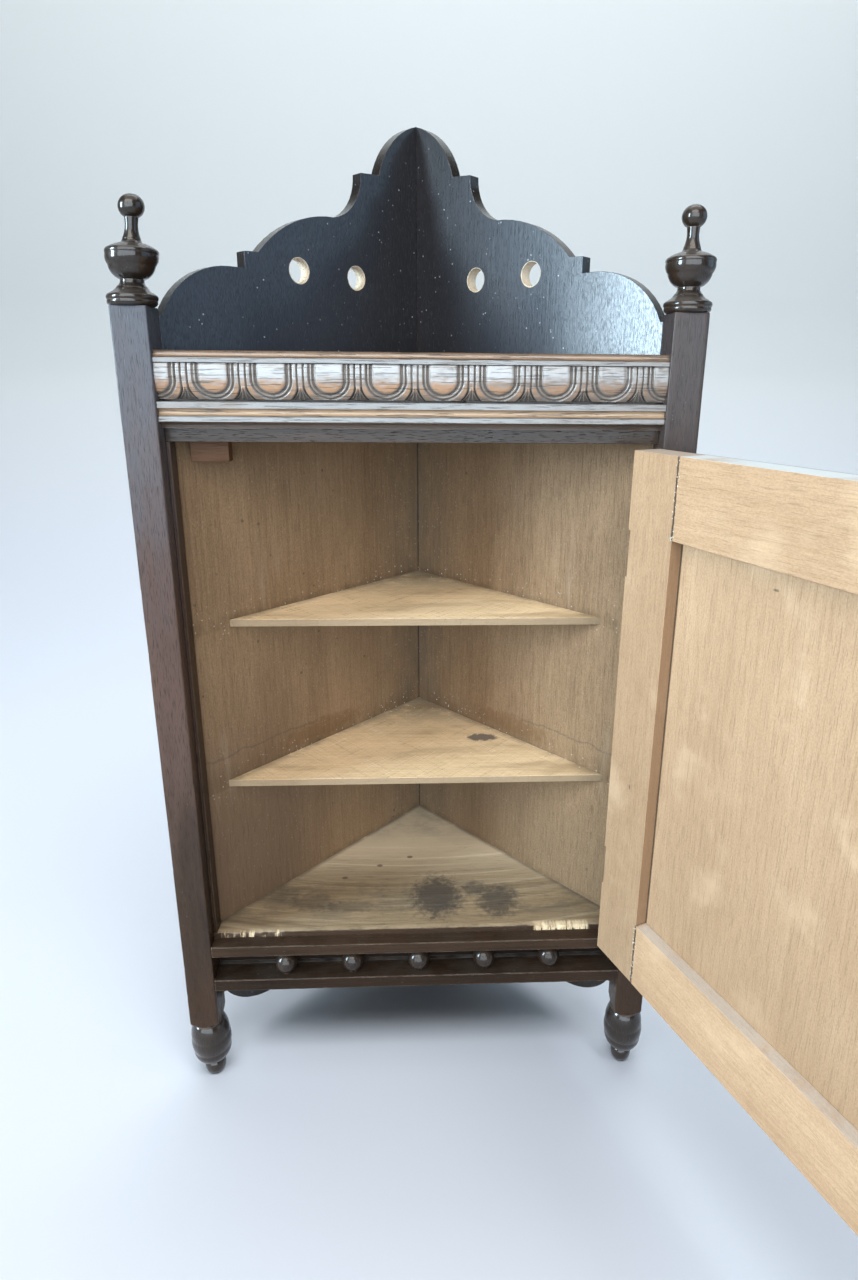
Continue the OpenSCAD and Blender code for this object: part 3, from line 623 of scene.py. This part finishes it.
ARC_STEPS = 14
CORNER_STEPS, FLAT_STEPS = 4, 8
WELD = 0.001 * MM
# Faces that meet at more than this make an arris.
SHARP = math.radians(28)


def arc(a, b, h, steps=ARC_STEPS):
    """Points of the arc from a to b whose height is h, to the left of the way there."""
    a, b = Vector(a), Vector(b)
    d = b - a
    c, s = d.length, math.copysign(1, h)
    u = d / c
    n = Vector((-u.y, u.x))
    r = (c * c / 4 + h * h) / (2 * abs(h))
    half = math.atan2(c / 2, r - abs(h))
    m = (a + b) / 2 + n * (h - s * r)
    return [m + u * r * math.sin(half * (2 * i / steps - 1))
            + n * s * r * math.cos(half * (2 * i / steps - 1)) for i in range(1, steps + 1)]


def outline(stations, steps=ARC_STEPS):
    """Points of an outline from its stations (x, y, bulge), in metres from millimetres."""
    points = []
    for i, (px, py, h) in enumerate(stations):
        if i == 0 or h == 0:
            points.append(Vector((px, py)))
        else:
            points += arc(stations[i - 1][:2], (px, py), h, steps)
    return [p * MM for p in points]


def loft(bm, rows):
    """Faces from each closed row of points to the next, with both ends capped."""
    for a, b in zip(rows, rows[1:]):
        for i in range(len(a)):
            j = (i + 1) % len(a)
            bm.faces.new((a[i], a[j], b[j], b[i]))
    bm.faces.new(rows[0])
    bm.faces.new(list(reversed(rows[-1])))


def placed(name, data):
    """A new object in the scene, with the data."""
    obj = bpy.data.objects.new(name, data)
    bpy.context.scene.collection.objects.link(obj)
    return obj


def smooth_mesh(name, bm, material):
    """The bmesh as a smooth mesh."""
    mesh = bpy.data.meshes.new(name)
    bm.to_mesh(mesh)
    bm.free()
    mesh.shade_smooth()
    mesh.materials.append(material)
    return mesh


def new_object(name, bm, material, smooth_angle=38):
    """Makes the piece from its bmesh, smooth where its faces meet gently."""
    bmesh.ops.recalc_face_normals(bm, faces=bm.faces)
    mesh = smooth_mesh(name, bm, material)
    mesh.set_sharp_from_angle(angle=math.radians(smooth_angle))
    return placed(name, mesh)


def rough_at(x, y, z):
    """Smooth noise from -1 to 1."""
    return noise.noise(Vector((x, y, z)))


def solid_of(node):
    """The CAD node's solid as a bmesh with its flat faces whole."""
    bm = bmesh.new()
    bm.from_mesh(frame["nodes"][node].data)
    bmesh.ops.remove_doubles(bm, verts=bm.verts, dist=WELD)
    bmesh.ops.dissolve_limit(bm, angle_limit=math.radians(0.3), verts=bm.verts, edges=bm.edges)
    return bm


def cut_across(bm, axis, places):
    """Slices every face along planes square to the axis, so that long edges can waver."""
    for place in places:
        geometry = bm.verts[:] + bm.edges[:] + bm.faces[:]
        bmesh.ops.bisect_plane(bm, geom=geometry, dist=WELD, plane_co=axis * place, plane_no=axis)


def places(low, high, step):
    """Evenly spaced places between low and high, about a step apart."""
    count = max(1, round((high - low) / step))
    return [low + (high - low) * i / count for i in range(1, count)]


def ease_arrises(bm, width, segments):
    """Rounds the solid's sharp edges."""
    sharp = [e for e in bm.edges
             if len(e.link_faces) == 2 and e.calc_face_angle(0) > SHARP]
    bmesh.ops.bevel(bm, geom=sharp, offset=width, offset_type="OFFSET", segments=segments,
                    profile=0.5, affect="EDGES", clamp_overlap=True)


def batter(bm, depth, seed, size=9 * MM):
    """Wears the arrises back unevenly. depth is the deepest dent and size its length."""
    bm.normal_update()
    moves = []
    for v in bm.verts:
        normals = [f.normal for f in v.link_faces]
        spread = min(a.dot(b) for a in normals for b in normals)
        if spread > 0.9:
            continue
        n = noise.noise(v.co / size + Vector((seed, 0, 0)))
        n += 0.5 * noise.noise(v.co / (size * 0.3) + Vector((0, seed, 0)))
        moves.append((v, v.normal * (-depth * max(0.0, n) ** 1.5)))
    for v, move in moves:
        v.co += move


def stand_for(obj, node):
    """The piece replaces its CAD node and rides on the node's body."""
    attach(obj, BODY_OF[node])
    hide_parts(node)
    return obj


BODY_OF = {n: b for b, ns in frame["record"]["behaviour"]["bodies"].items() for n in ns}


def eased(node, material, width, along=None, step=3 * MM, dent=0.0, seed=0.0, segments=2):
    """A CAD solid with rounded, slightly worn arrises."""
    bm = solid_of(node)
    if along:
        spans = [v.co.dot(along) for v in bm.verts]
        cut_across(bm, along, places(min(spans), max(spans), step))
    ease_arrises(bm, width, segments)
    if dent:
        batter(bm, dent, seed)
    obj = new_object(node + "_worn", bm, material)
    obj.modifiers.new("flat_faces", "WEIGHTED_NORMAL").keep_sharp = True
    return stand_for(obj, node)


def post_section(z, seed):
    """The post's outline at a height: corners rubbed round, and turned away at the foot."""
    half = (POST_HI.x - POST_LO.x) / 2
    half -= 0.35 * MM * max(0.0, 1 - (POST_TOP - z) / (0.6 * MM)) ** 2
    shoulder = half + 0.1 * MM + 3.4 * MM * min(1.0, (z - POST_FOOT) / (2.6 * MM)) ** 0.7
    points = []
    for corner in range(4):
        turn = Matrix.Rotation(math.pi / 2 * corner, 2)
        wear = 0.5 + rough_at(corner * 5 + seed, seed, z * 28)
        chip = max(0.0, rough_at(corner * 9 + seed, 3, z * 170) - 0.25)
        radius = (0.45 + 0.55 * max(0.0, wear) + 1.1 * chip) * MM
        inner = half - radius
        for i in range(CORNER_STEPS + 1):
            a = math.pi / 2 * i / CORNER_STEPS
            points.append(turn @ Vector((inner + radius * math.cos(a), inner + radius * math.sin(a))))
        for i in range(1, FLAT_STEPS):
            across = inner * (1 - 2 * i / FLAT_STEPS)
            dip = 0.07 * MM * max(0.0, rough_at(across * 300, z * 60, corner + seed))
            points.append(turn @ Vector((across, half - dip)))
    return [p * min(1.0, shoulder / p.length) for p in points]


def worn_post(node, side, material, seed):
    """A square post lofted through its worn sections."""
    lips = [POST_FOOT + d * MM for d in (0, 0.25, 0.6, 1.1, 1.7, 2.3)]
    tops = [POST_TOP - d * MM for d in (0.6, 0.35, 0.15, 0)]
    bm = bmesh.new()
    rows = []
    for z in [*lips, *places(POST_FOOT + 2.5 * MM, POST_TOP - MM, 2.4 * MM), *tops]:
        rows.append([bm.verts.new((side * POST_X + p.x, POST_Y + p.y, z))
                     for p in post_section(z, seed)])
    loft(bm, rows)
    return stand_for(new_object(node + "_worn", bm, material, 35), node)


TOOL_MARKS, OUT_OF_ROUND = 0.03 * MM, 0.10 * MM


def turned(node, stations, centre, material, seed, sides=72, lean=0.0, root=0.0):
    """A lathe-turned piece about the vertical through the centre.

    One that was glued in crooked leans towards +X above the height called root.
    """
    bm = bmesh.new()
    rings = []
    for r, z in outline(stations):
        middle = centre.x + lean * (z - root)
        if r < 1e-7:
            rings.append([bm.verts.new((middle, centre.y, centre.z + z))])
            continue
        ring = []
        for i in range(sides):
            a = 2 * math.pi * i / sides
            q = rough_at(math.cos(a) * 2, math.sin(a) * 2, z * 160 + seed)
            p = rough_at(seed, 7, z * 2400)
            rr = r + (OUT_OF_ROUND * q + TOOL_MARKS * p) * min(1.0, r / (4 * MM))
            ring.append(bm.verts.new((middle + rr * math.cos(a), centre.y + rr * math.sin(a),
                                      centre.z + z)))
        rings.append(ring)
    for low, high in zip(rings, rings[1:]):
        for i in range(sides):
            j = (i + 1) % sides
            corners = (low[i % len(low)], low[j % len(low)], high[j % len(high)], high[i % len(high)])
            corners = list(dict.fromkeys(corners))
            if len(corners) > 2:
                bm.faces.new(corners)
    return stand_for(new_object(node + "_turned", bm, material, 50), node)


def moulding(name, node, stations, seed, step=2.5 * MM):
    """A run of moulding between the posts, its profile given as (y, z) stations."""
    profile = outline(stations, steps=8)
    bm = bmesh.new()
    rows = []
    for x in [-INNER_X, *places(-INNER_X, INNER_X, step), INNER_X]:
        row = []
        for y, z in profile:
            dy = dz = 0.0
            if y < FRIEZE_Y - 0.5 * MM:
                dy = 0.10 * MM * rough_at(x * 60, z * 400, seed)
                dz = 0.07 * MM * rough_at(x * 40, z * 400, seed + 9)
            row.append(bm.verts.new((x, y + dy, z + dz)))
        rows.append(row)
    loft(bm, rows)
    return stand_for(new_object(name, bm, carved, 32), node)


# ---------------- the carved frieze

OVOLO_LO, OVOLO_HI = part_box("egg_and_dart")[0].z / MM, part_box("egg_and_dart")[1].z / MM
EGG_COUNT = 8
PITCH = 2 * INNER_X / MM / (EGG_COUNT + 1)
# An egg's half width, the heights where its sides start to turn in and where its foot ends (mm).
EGG_HALF, EGG_TURN, EGG_FOOT = 6.3, 8.6, 2.8
# The width of the rim round each egg, and a dart's half width where it starts to flare (mm).
RIM, DART = 2.35, 1.4
# The uncarved ovolo: how far it stands out, at what height, and how fast it falls away.
OVOLO_OUT, OVOLO_BULGE_AT, OVOLO_FALL = 6.5, 10.5, 0.030
CARVING_GRID = 0.28


def bump_at(d, centre, half):
    """A round ridge, 1 at its centre and 0 from half away."""
    t = np.clip(np.abs(d - centre) / half, 0, 1)
    return (1 - t * t) ** 1.5


def relief(u, v):
    """Height of the carving over the ovolo at u from an egg's middle and v from the foot (mm)."""
    u = np.abs(u)
    turn, drop = np.maximum(EGG_TURN - v, 0), EGG_TURN - EGG_FOOT
    reach = np.sqrt((u / EGG_HALF) ** 2 + (turn / drop) ** 2)
    stretch = np.where(v > EGG_TURN, EGG_HALF, drop + (EGG_HALF - drop) * np.clip(u / EGG_HALF, 0, 1))
    d = (reach - 1) * stretch
    height = -0.35 * np.clip(1 + d / 1.6, 0, 1) ** 2
    channel = np.clip(d / 0.25, 0, 1) * np.clip((RIM + 0.25 - d) / 0.25, 0, 1)
    height = height * (d <= 0) + (d > 0) * -0.15
    height = height * (1 - channel) + channel * (-1.05 + 0.85 * bump_at(d, 1.65, 0.85))
    height -= 0.55 * bump_at(d, RIM + 0.35, 0.45)
    w = PITCH / 2 - u
    low = np.maximum(6.0 - v, 0)
    line = DART + 0.088 * low ** 2
    outside = d > RIM + 0.3
    height -= outside * 0.75 * bump_at(w, line, 0.5)
    fluke = outside * (w < line) * np.clip(low / 2.0, 0, 1)
    height -= fluke * (0.55 + 0.12 * low)
    height += outside * np.clip(low / 1.5, 0, 1) * 0.75 * bump_at(w, line - 0.85, 0.5)
    height += fluke * 0.7 * bump_at(w, 0.175 * low, 0.45)
    return height


def ovolo(v):
    """How far the uncarved ovolo stands in front of the frieze board (mm)."""
    return OVOLO_OUT - OVOLO_FALL * (v - OVOLO_BULGE_AT) ** 2


def carve_frieze(material):
    """The egg-and-dart: a fine grid pushed out by the ovolo and its carving, closed behind."""
    across = int(2 * INNER_X / MM / CARVING_GRID)
    up = int((OVOLO_HI - OVOLO_LO) / CARVING_GRID)
    xs = np.linspace(-INNER_X / MM, INNER_X / MM, across + 1)
    vs = np.linspace(0, OVOLO_HI - OVOLO_LO, up + 1)
    gx, gv = np.meshgrid(xs, vs)
    cell = gx / PITCH + (EGG_COUNT + 1) / 2
    u = (cell - np.round(cell)) * PITCH
    depth = ovolo(gv) + relief(u, gv)
    rows = []
    bm = bmesh.new()
    for j in range(up + 1):
        row = []
        for i in range(across + 1):
            wobble = 0.10 * rough_at(xs[i] * 0.35, vs[j] * 0.5, 3)
            grain = 0.03 * rough_at(xs[i] * 0.12, vs[j] * 4.5, 8)
            y = FRIEZE_Y - (max(0.6, depth[j, i] + wobble + grain)) * MM
            row.append(bm.verts.new((xs[i] * MM, y, (OVOLO_LO + vs[j]) * MM)))
        rows.append(row)
    for a, b in zip(rows, rows[1:]):
        for i in range(across):
            bm.faces.new((a[i], a[i + 1], b[i + 1], b[i]))
    rim = rows[0] + [r[-1] for r in rows[1:]] + rows[-1][-2::-1] + [r[0] for r in rows[-2:0:-1]]
    back = [bm.verts.new((v.co.x, FRIEZE_Y, v.co.z)) for v in rim]
    for i in range(len(rim)):
        j = (i + 1) % len(rim)
        bm.faces.new((rim[j], rim[i], back[i], back[j]))
    bm.faces.new(back)
    return stand_for(new_object("egg_and_dart_carved", bm, material, 60), "egg_and_dart")


def carved_material(name, tan_bands):
    """The frieze, with painted reflection: grey on its upright faces, warm brown on faces turned down,
    dimmer off the carving and towards the right, darker and duller in its hollows.

    tan_bands are the heights (mm) between which the polish is worn through to tan oak.
    """
    t = Tree(name)
    axes = t.grain(X, Z, 1.7)
    z, y = t.at(Z), t.at(Y)
    layer = ebony_layer(t, X, Z, tone=1.3, wear=0.7, offset=1.7, dust=0.15)
    pores = t.noise(axes, (55, 1500, 300), rough=0.6)
    pore = t.step(pores, 0.56, 0.63)
    rub = t.noise(axes, (22, 150, 150), detail=4, rough=0.65)
    # Painted reflection by facing: grey where the faces look at the bright room, warm brown where they
    # turn down to the floor.
    upright = t.step(t.dot(t.normal, Z), -0.34, 0.02)
    rubbed = t.mix(upright, (0.30, 0.165, 0.085), (0.27, 0.265, 0.26))
    # The painted reflection is dimmed off the carving, on the fillets and mouldings.
    carving = t.within(z, OVOLO_LO * MM, OVOLO_HI * MM)
    rubbed = t.mix(t.mul(t.sub(1.0, carving), 0.55), rubbed, (0.07, 0.068, 0.066))
    rubbed = t.mix(t.step(rub, 0.50, 0.75), rubbed, (0.13, 0.105, 0.085))
    # The painted grey gives way to darker brown towards the right.
    right = t.step(t.at(X), 20 * MM, 120 * MM, 0.0, 0.6)
    rubbed = t.mix(right, rubbed, (0.115, 0.092, 0.078))
    # Darker in the hollows, along the foot of the eggs and in the deepest cuts.
    up = t.mul(t.sub(z, OVOLO_LO * MM), 1 / MM)
    ahead = t.sub(up, OVOLO_BULGE_AT)
    surface = t.sub(OVOLO_OUT, t.mul(t.mul(ahead, ahead), OVOLO_FALL))
    sunk = t.add(t.mul(t.sub(y, FRIEZE_Y), 1 / MM), surface)
    hollow = t.mul(t.step(sunk, 0.08, 0.32), carving)
    foot = t.mul(t.within(z, OVOLO_LO * MM, (OVOLO_LO + 2.2) * MM, soft=0.8 * MM), 0.8)
    rubbed = t.mix(t.math("MAXIMUM", hollow, foot), rubbed, (0.140, 0.115, 0.098))
    deep = t.mul(t.step(sunk, 0.55, 0.95), carving)
    rubbed = t.mix(deep, rubbed, (0.085, 0.068, 0.055))
    for low, high in tan_bands:
        band = t.mul(t.within(z, low * MM, high * MM, soft=0.35 * MM), t.step(rub, 0.22, 0.45))
        rubbed = t.mix(band, rubbed, (0.30, 0.195, 0.115) if low < MID else (0.19, 0.115, 0.068))
    shade = t.step(z, (OVOLO_LO - 10.6) * MM, (OVOLO_LO - 9.4) * MM, 0.85, 0.0)
    layer[0] = t.mix(shade, rubbed, layer[0])
    t.paint(layer, t.mul(pore, 0.65), (0.020, 0.014, 0.010))
    layer[1] = t.add(0.24, t.add(t.mul(rub, 0.12), t.mul(hollow, 0.3)))
    layer[2] = t.sub(layer[2], t.mul(pore, 1.2))
    return t.surface(layer, bump=0.10 * MM, specular=0.6, coat=0.5, coat_rough=0.18)


# How far back and down from the floor's front arris the chips and dents reach, in millimetres.
CHIP_BACK, CHIP_DOWN, CHIP_MOST = 4.5, 2.65, 2.4


def chipped_floor(material):
    """The floor board, its front arris dented all along and chipped in two places."""
    bm = solid_of("floor_board")
    cut_across(bm, X, places(-INNER_X, INNER_X, 1.3 * MM))
    cut_across(bm, Y, [FLOOR_FRONT + d * MM for d in (0.5, 1.1, 1.8, 2.6, 3.6, 5)])
    cut_across(bm, Z, [FLOOR_TOP - d * MM for d in (0.6, 1.3, 2.0, 2.6)])
    for v in bm.verts:
        back = (v.co.y - FLOOR_FRONT) / MM
        down = (FLOOR_TOP - v.co.z) / MM
        if back > CHIP_BACK or down > CHIP_DOWN:
            continue
        near = (1 - back / CHIP_BACK) * (1 - down / CHIP_DOWN)
        bite = 0.25 * max(0.0, rough_at(v.co.x * 130, 2, 5)) * near
        for low, high, reach, _ in CHIPS:
            inside = min(v.co.x - low, high - v.co.x) / (3 * MM)
            if inside > 0:
                ragged = 0.55 + 0.75 * rough_at(v.co.x * 260, v.co.z * 300, 1)
                bite += min(1.0, inside) * ragged * near * reach / (1.5 * MM)
        bite = min(max(0.0, bite), CHIP_MOST) * MM
        if v.co.y < FLOOR_FRONT + 1e-6 or v.co.z > FLOOR_TOP - 1e-6:
            v.co.y += bite * 0.8
            v.co.z -= bite * 0.6 * (1 - back / CHIP_BACK)
    return stand_for(new_object("floor_board_worn", bm, material), "floor_board")


# ---------------- the cupboard

# The left post carries the full painted sheen and the right post less: lit and shaded copies of one
# material.
left_black, right_black = post_material("ebonised_left_post", 1), post_material("ebonised_posts", 0.3)
rail_black = ebonised("ebonised_rails", X, {"specular": 0.08}, tone=1.35, wear=0.8, offset=2.4,
                      dust=0.04, rough=0.20, rubbed=(0.42, 0.32, 0.24))
low_black = ebonised("ebonised_low_rail", X, {"specular": 0.08}, tone=0.8, wear=0.8, offset=6.2,
                     dust=0.04, rough=0.25, rubbed=(0.40, 0.30, 0.25))
backing_black = ebonised("ebonised_backing", X, {"specular": 0.2}, tone=0.35, wear=0.3, offset=7.7,
                         rough=0.4)
recess_black = ebonised("ebonised_recess", X, {"specular": 0.35}, tone=0.9, wear=0.6, offset=5.1,
                        rough=0.22)
turned_black = ebonised("ebonised_turnings", Z, {"specular": 0.2, "coat": 0.7, "coat_rough": 0.10},
                        tone=0.6, wear=0.8, offset=0.9)
bead_black = ebonised("ebonised_beads", Z, {"specular": 0.15, "coat": 0.45, "coat_rough": 0.12},
                      tone=0.6, wear=0.5, offset=1.9, dust=0.05)
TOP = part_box("frieze_board")[1].z / MM
MID = TOP - 21.8
carved = carved_material("ebonised_carving", ((TOP - 2.7, TOP + 1), (MID - 6.0, MID - 3.2)))
brass, steel = brass_material(), steel_material()

worn_post("left_post", -1, left_black, seed=1.0)
worn_post("right_post", 1, right_black, seed=4.0)

for side, board in ((-1, "left_back_board"), (1, "right_back_board")):
    eased(board, board_material(side), 0.35 * MM)

SHELF_BLOT = ((39 * MM, -64 * MM), (9 * MM, 4.5 * MM), 0.85)
for level, offset, blots, pale, seed in (
        ("upper", 0.4, (), 1.25, 2.0), ("lower", 3.4, (SHELF_BLOT,), 1.08, 6.0)):
    eased(level + "_shelf", shelf_material("shelf_oak_" + level, offset, blots, pale),
          0.3 * MM, X, dent=0.12 * MM, seed=seed)
chipped_floor(floor_material())
eased("frieze_board", recess_black, 0.3 * MM)
eased("bead_backing", backing_black, 0.2 * MM, segments=1)
eased("left_stop_strip", right_black, 0.25 * MM, segments=1)
for rail, material, seed in (("floor_rail", rail_black, 3.0), ("lower_rail", low_black, 8.0)):
    eased(rail, material, 0.4 * MM, X, dent=0.45 * MM, seed=seed)
eased("top_board", pine_in_painted_shade(), 0.2 * MM, segments=1)
eased("door_stop_block", pine_in_painted_shade(), 0.4 * MM)
carve_frieze(carved)

FRONT, FRIEZE = FRONT_Y / MM, FRIEZE_Y / MM
moulding("frieze_cornice_moulded", "frieze_cornice", (
    (FRIEZE, TOP - 5, 0), (FRIEZE, TOP, 0), (FRONT + 1.9, TOP, 0),
    (FRONT + 1.9, TOP - 2.5, 1.0), (FRONT + 2.4, TOP - 2.8, 0), (FRONT + 1.6, TOP - 3.1, 0),
    (FRONT + 1.4, TOP - 3.4, 0.05), (FRONT + 1.4, TOP - 5, 0)), 1.0)
moulding("frieze_lower_moulded", "frieze_lower_moulding", (
    (FRIEZE, MID - 11.9, 0), (FRIEZE, MID, 0), (FRONT + 1.5, MID, 0), (FRONT + 1.2, MID - 0.3, 0),
    (FRONT + 1.2, MID - 2.8, 0), (FRONT + 2.2, MID - 3.3, 0), (FRONT + 2.2, MID - 5.8, 1.0),
    (FRONT + 2.6, MID - 6.3, 0), (FRONT + 1.8, MID - 6.7, 0), (FRONT + 1.7, MID - 8.7, 0),
    (FRONT + 3.2, MID - 9.3, 0), (FRONT + 5.6, MID - 11.9, 0.6)), 4.0)

FINIAL = [
    (0, 0, 0), (9, 0, 0), (10.2, 2.4, -0.6), (9.6, 5, -0.7), (8.7, 5.6, 0), (6.2, 8, 0.3),
    (5, 9.6, 0.15), (4.9, 10.8, 0), (9.6, 16.4, -1), (10.7, 21, -0.5), (9.9, 23.2, -0.5),
    (4.6, 25.4, -0.25), (3.7, 27.2, 0.2), (2.6, 33, 0.3), (2.8, 35.4, 0), (5.3, 39.8, -0.75),
    (0, 44.4, -1.5)]
FOOT = [
    (0, 0, 0), (2.4, 0, 0), (5.8, 5.2, -1.1), (4.3, 9.6, -0.5), (4.3, 10.4, 0),
    (10.4, 19.4, -2.1), (10.6, 27.6, -0.55), (8.3, 37.4, -0.7), (7.7, 38, 0), (8.4, 38.2, 0),
    (8.4, 38.8, 0), (8, 39, 0), (0, 39, 0)]
FINIAL_LEAN = {-1: 0.095, 1: -0.012}
FOOT_LEAN = {-1: -0.045, 1: 0.0}
for name, side in (("left", -1), ("right", 1)):
    turned(name + "_finial", FINIAL, Vector((side * POST_X, POST_Y, POST_TOP)), turned_black,
           side * 3.0, lean=FINIAL_LEAN[side], root=5 * MM)
    turned(name + "_foot", FOOT, Vector((side * POST_X, POST_Y, 0)), turned_black,
           side * 5.0, lean=FOOT_LEAN[side], root=POST_FOOT)

# Half a bead's height, from the disc at its foot to the collar at its top.
COLLAR = 7.85
BEAD = [
    (0, -COLLAR, 0), (2.8, -COLLAR, 0), (2.8, 0.9 - COLLAR, 0), (2.2, 12.6 - COLLAR, -3.7),
    (3.2, 14.6 - COLLAR, 0.25), (3.2, COLLAR, 0), (0, COLLAR, 0)]
for i in range(1, 6):
    lo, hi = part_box(f"rail_bead_{i}")
    turned(f"rail_bead_{i}", BEAD, (lo + hi) / 2, bead_black, i, sides=48)

# ---------------- the door

SEAMS = [(low, high, at) for at in (STILE_W, DOOR_W - STILE_W)
         for low, high in ((DOOR_Z1 - TOP_RAIL_W, DOOR_Z1), (DOOR_Z0, DOOR_Z0 + BOTTOM_RAIL_W))]
stile = door_material("door_oak_stiles", Z, DOOR_ALONG, 0.6, 0.97, joints=SEAMS)
rails = door_material("door_oak_rails", DOOR_ALONG, Z, 2.2, 1.10, low=0.0, joints=SEAMS)
panel = door_material("door_oak_panel", Z, DOOR_ALONG, 4.4, 1.0)
for node in ("door_hinge_stile", "door_free_stile"):
    eased(node, stile, 0.3 * MM, Z, 6 * MM, dent=0.4 * MM, seed=5.0)
for node in ("door_top_rail", "door_bottom_rail"):
    eased(node, rails, 0.3 * MM, DOOR_ALONG, 6 * MM, dent=0.3 * MM, seed=7.0)
eased("door_panel", panel, 0.15 * MM, segments=1)

# ---------------- hardware kept from the CAD

def finish_node(name, material):
    """Gives a CAD node its material."""
    node = frame["nodes"][name]
    node.data.materials.clear()
    node.data.materials.append(material)
    node.modifiers.new("weld", "WELD").merge_threshold = WELD


for name in ("upper_frame_leaf", "lower_frame_leaf", "upper_door_leaf", "lower_door_leaf",
             "upper_hinge_pin", "lower_hinge_pin"):
    finish_node(name, brass)
for name in ("frame_hinge_screws", "door_hinge_screws", "panel_pins"):
    finish_node(name, steel)
finish_node("door_knob", turned_black)


# ---------------- stage, lights and camera

def sweep():
    """Paper that lies flat under the cupboard and curves up behind it."""
    start, radius, top, half = 0.55, 0.6, 3.2, 4.0
    profile = [(-4.0, 0.0), (start, 0.0)]
    for i in range(1, 25):
        a = math.pi / 2 * i / 24
        profile.append((start + radius * math.sin(a), radius * (1 - math.cos(a))))
    profile.append((start + radius, top))
    bm = bmesh.new()
    rows = [[bm.verts.new((x, y, z)) for x in (-half, half)] for y, z in profile]
    for a, b in zip(rows, rows[1:]):
        bm.faces.new((a[0], a[1], b[1], b[0]))
    obj = placed("paper", smooth_mesh("paper", bm, paper_material()))
    return obj


def soft_light(name, at, towards, width, height, radiance, colour, linked=None, state="EXCLUDE"):
    """A rectangle of light with the given brightness, in the units of the world's own.

    It lights everything but the linked object, or, where state is INCLUDE, only that object.
    """
    data = bpy.data.lights.new(name, "AREA")
    data.shape, data.size, data.size_y = "RECTANGLE", width, height
    data.energy, data.color = radiance * math.pi * width * height, colour
    obj = placed(name, data)
    obj.location = at
    obj.rotation_mode = "QUATERNION"
    obj.rotation_quaternion = (Vector(towards) - Vector(at)).to_track_quat("-Z", "Y")
    obj.visible_camera = False
    if linked:
        group = bpy.data.collections.new(name + "_link")
        group.objects.link(linked)
        group.collection_objects[0].light_linking.link_state = state
        obj.light_linking.receiver_collection = group


def lights(paper):
    """A window at the left, the bright room in front, and lamps that light only the paper."""
    soft_light("window", (-1.6, -0.74, 0.72), (0, -0.1, 0.40), 0.42, 0.9, 52, (0.66, 0.86, 1.0),
               paper)
    soft_light("room", (-0.2, -2.3, 0.75), (0, 0, 0.75), 3.0, 1.5, 5.4, (0.78, 0.90, 1.0), paper)
    soft_light("front_sky", (-0.3, -1.7, 1.8), (0, 0, 0.2), 2.2, 1.0, 6.0, (1.0, 0.95, 0.88), paper)
    soft_light("far_wall", (2.2, -0.35, 0.8), (0, -0.1, 0.5), 1.6, 1.6, 1.4, (0.50, 0.75, 1.0), paper)
    soft_light("sky", (0.1, -0.40, 2.2), (0, -0.3, 0), 2.6, 2.0, 1.4, (0.97, 0.98, 1.0))
    soft_light("floor_light", (0.2, -1.15, 2.2), (0.1, -0.3, 0), 1.6, 0.8, 5.4, (0.96, 0.98, 1.0),
               paper, "INCLUDE")
    soft_light("near_floor_light", (0, -0.80, 1.5), (0, -0.55, 0), 1.6, 0.4, 6.0, (1.0, 1.0, 1.0),
               paper, "INCLUDE")
    soft_light("backdrop", (0, 0.45, 2.4), (0, 1.15, 1.1), 2.6, 0.6, 3.0, (1.0, 1.0, 0.97))
    world = bpy.data.worlds.new("room_light")
    world.use_nodes = True
    back = world.node_tree.nodes["Background"]
    back.inputs["Color"].default_value = (0.66, 0.83, 1.0, 1)
    back.inputs["Strength"].default_value = 0.07
    bpy.context.scene.world = world


EYE = Vector((3.6, -464.9, 398.1)) * MM
YAW, PITCH_DOWN, ROLL = 0.0438, 0.2738, -0.0087
FOCAL, SHIFT = 0.5603, (-0.0195, -0.0489)


def camera():
    """The photograph's viewpoint. FOCAL is the focal length over the picture's long side."""
    ahead = Vector((math.sin(YAW) * math.cos(PITCH_DOWN), math.cos(YAW) * math.cos(PITCH_DOWN),
                    -math.sin(PITCH_DOWN)))
    level = Vector((math.cos(YAW), -math.sin(YAW), 0))
    down = ahead.cross(level)
    right = math.cos(ROLL) * level + math.sin(ROLL) * down
    below = math.cos(ROLL) * down - math.sin(ROLL) * level
    data = bpy.data.cameras.new("camera")
    data.sensor_width = 36
    data.sensor_fit = "AUTO"
    data.lens = FOCAL * data.sensor_width
    data.shift_x, data.shift_y = SHIFT
    data.clip_start = 0.01
    obj = placed("camera", data)
    axes = Matrix((right, -below, -ahead)).transposed().to_4x4()
    obj.matrix_world = Matrix.Translation(EYE) @ axes
    bpy.context.scene.camera = obj


lights(sweep())
camera()
bpy.context.scene.view_settings.view_transform = "Standard"
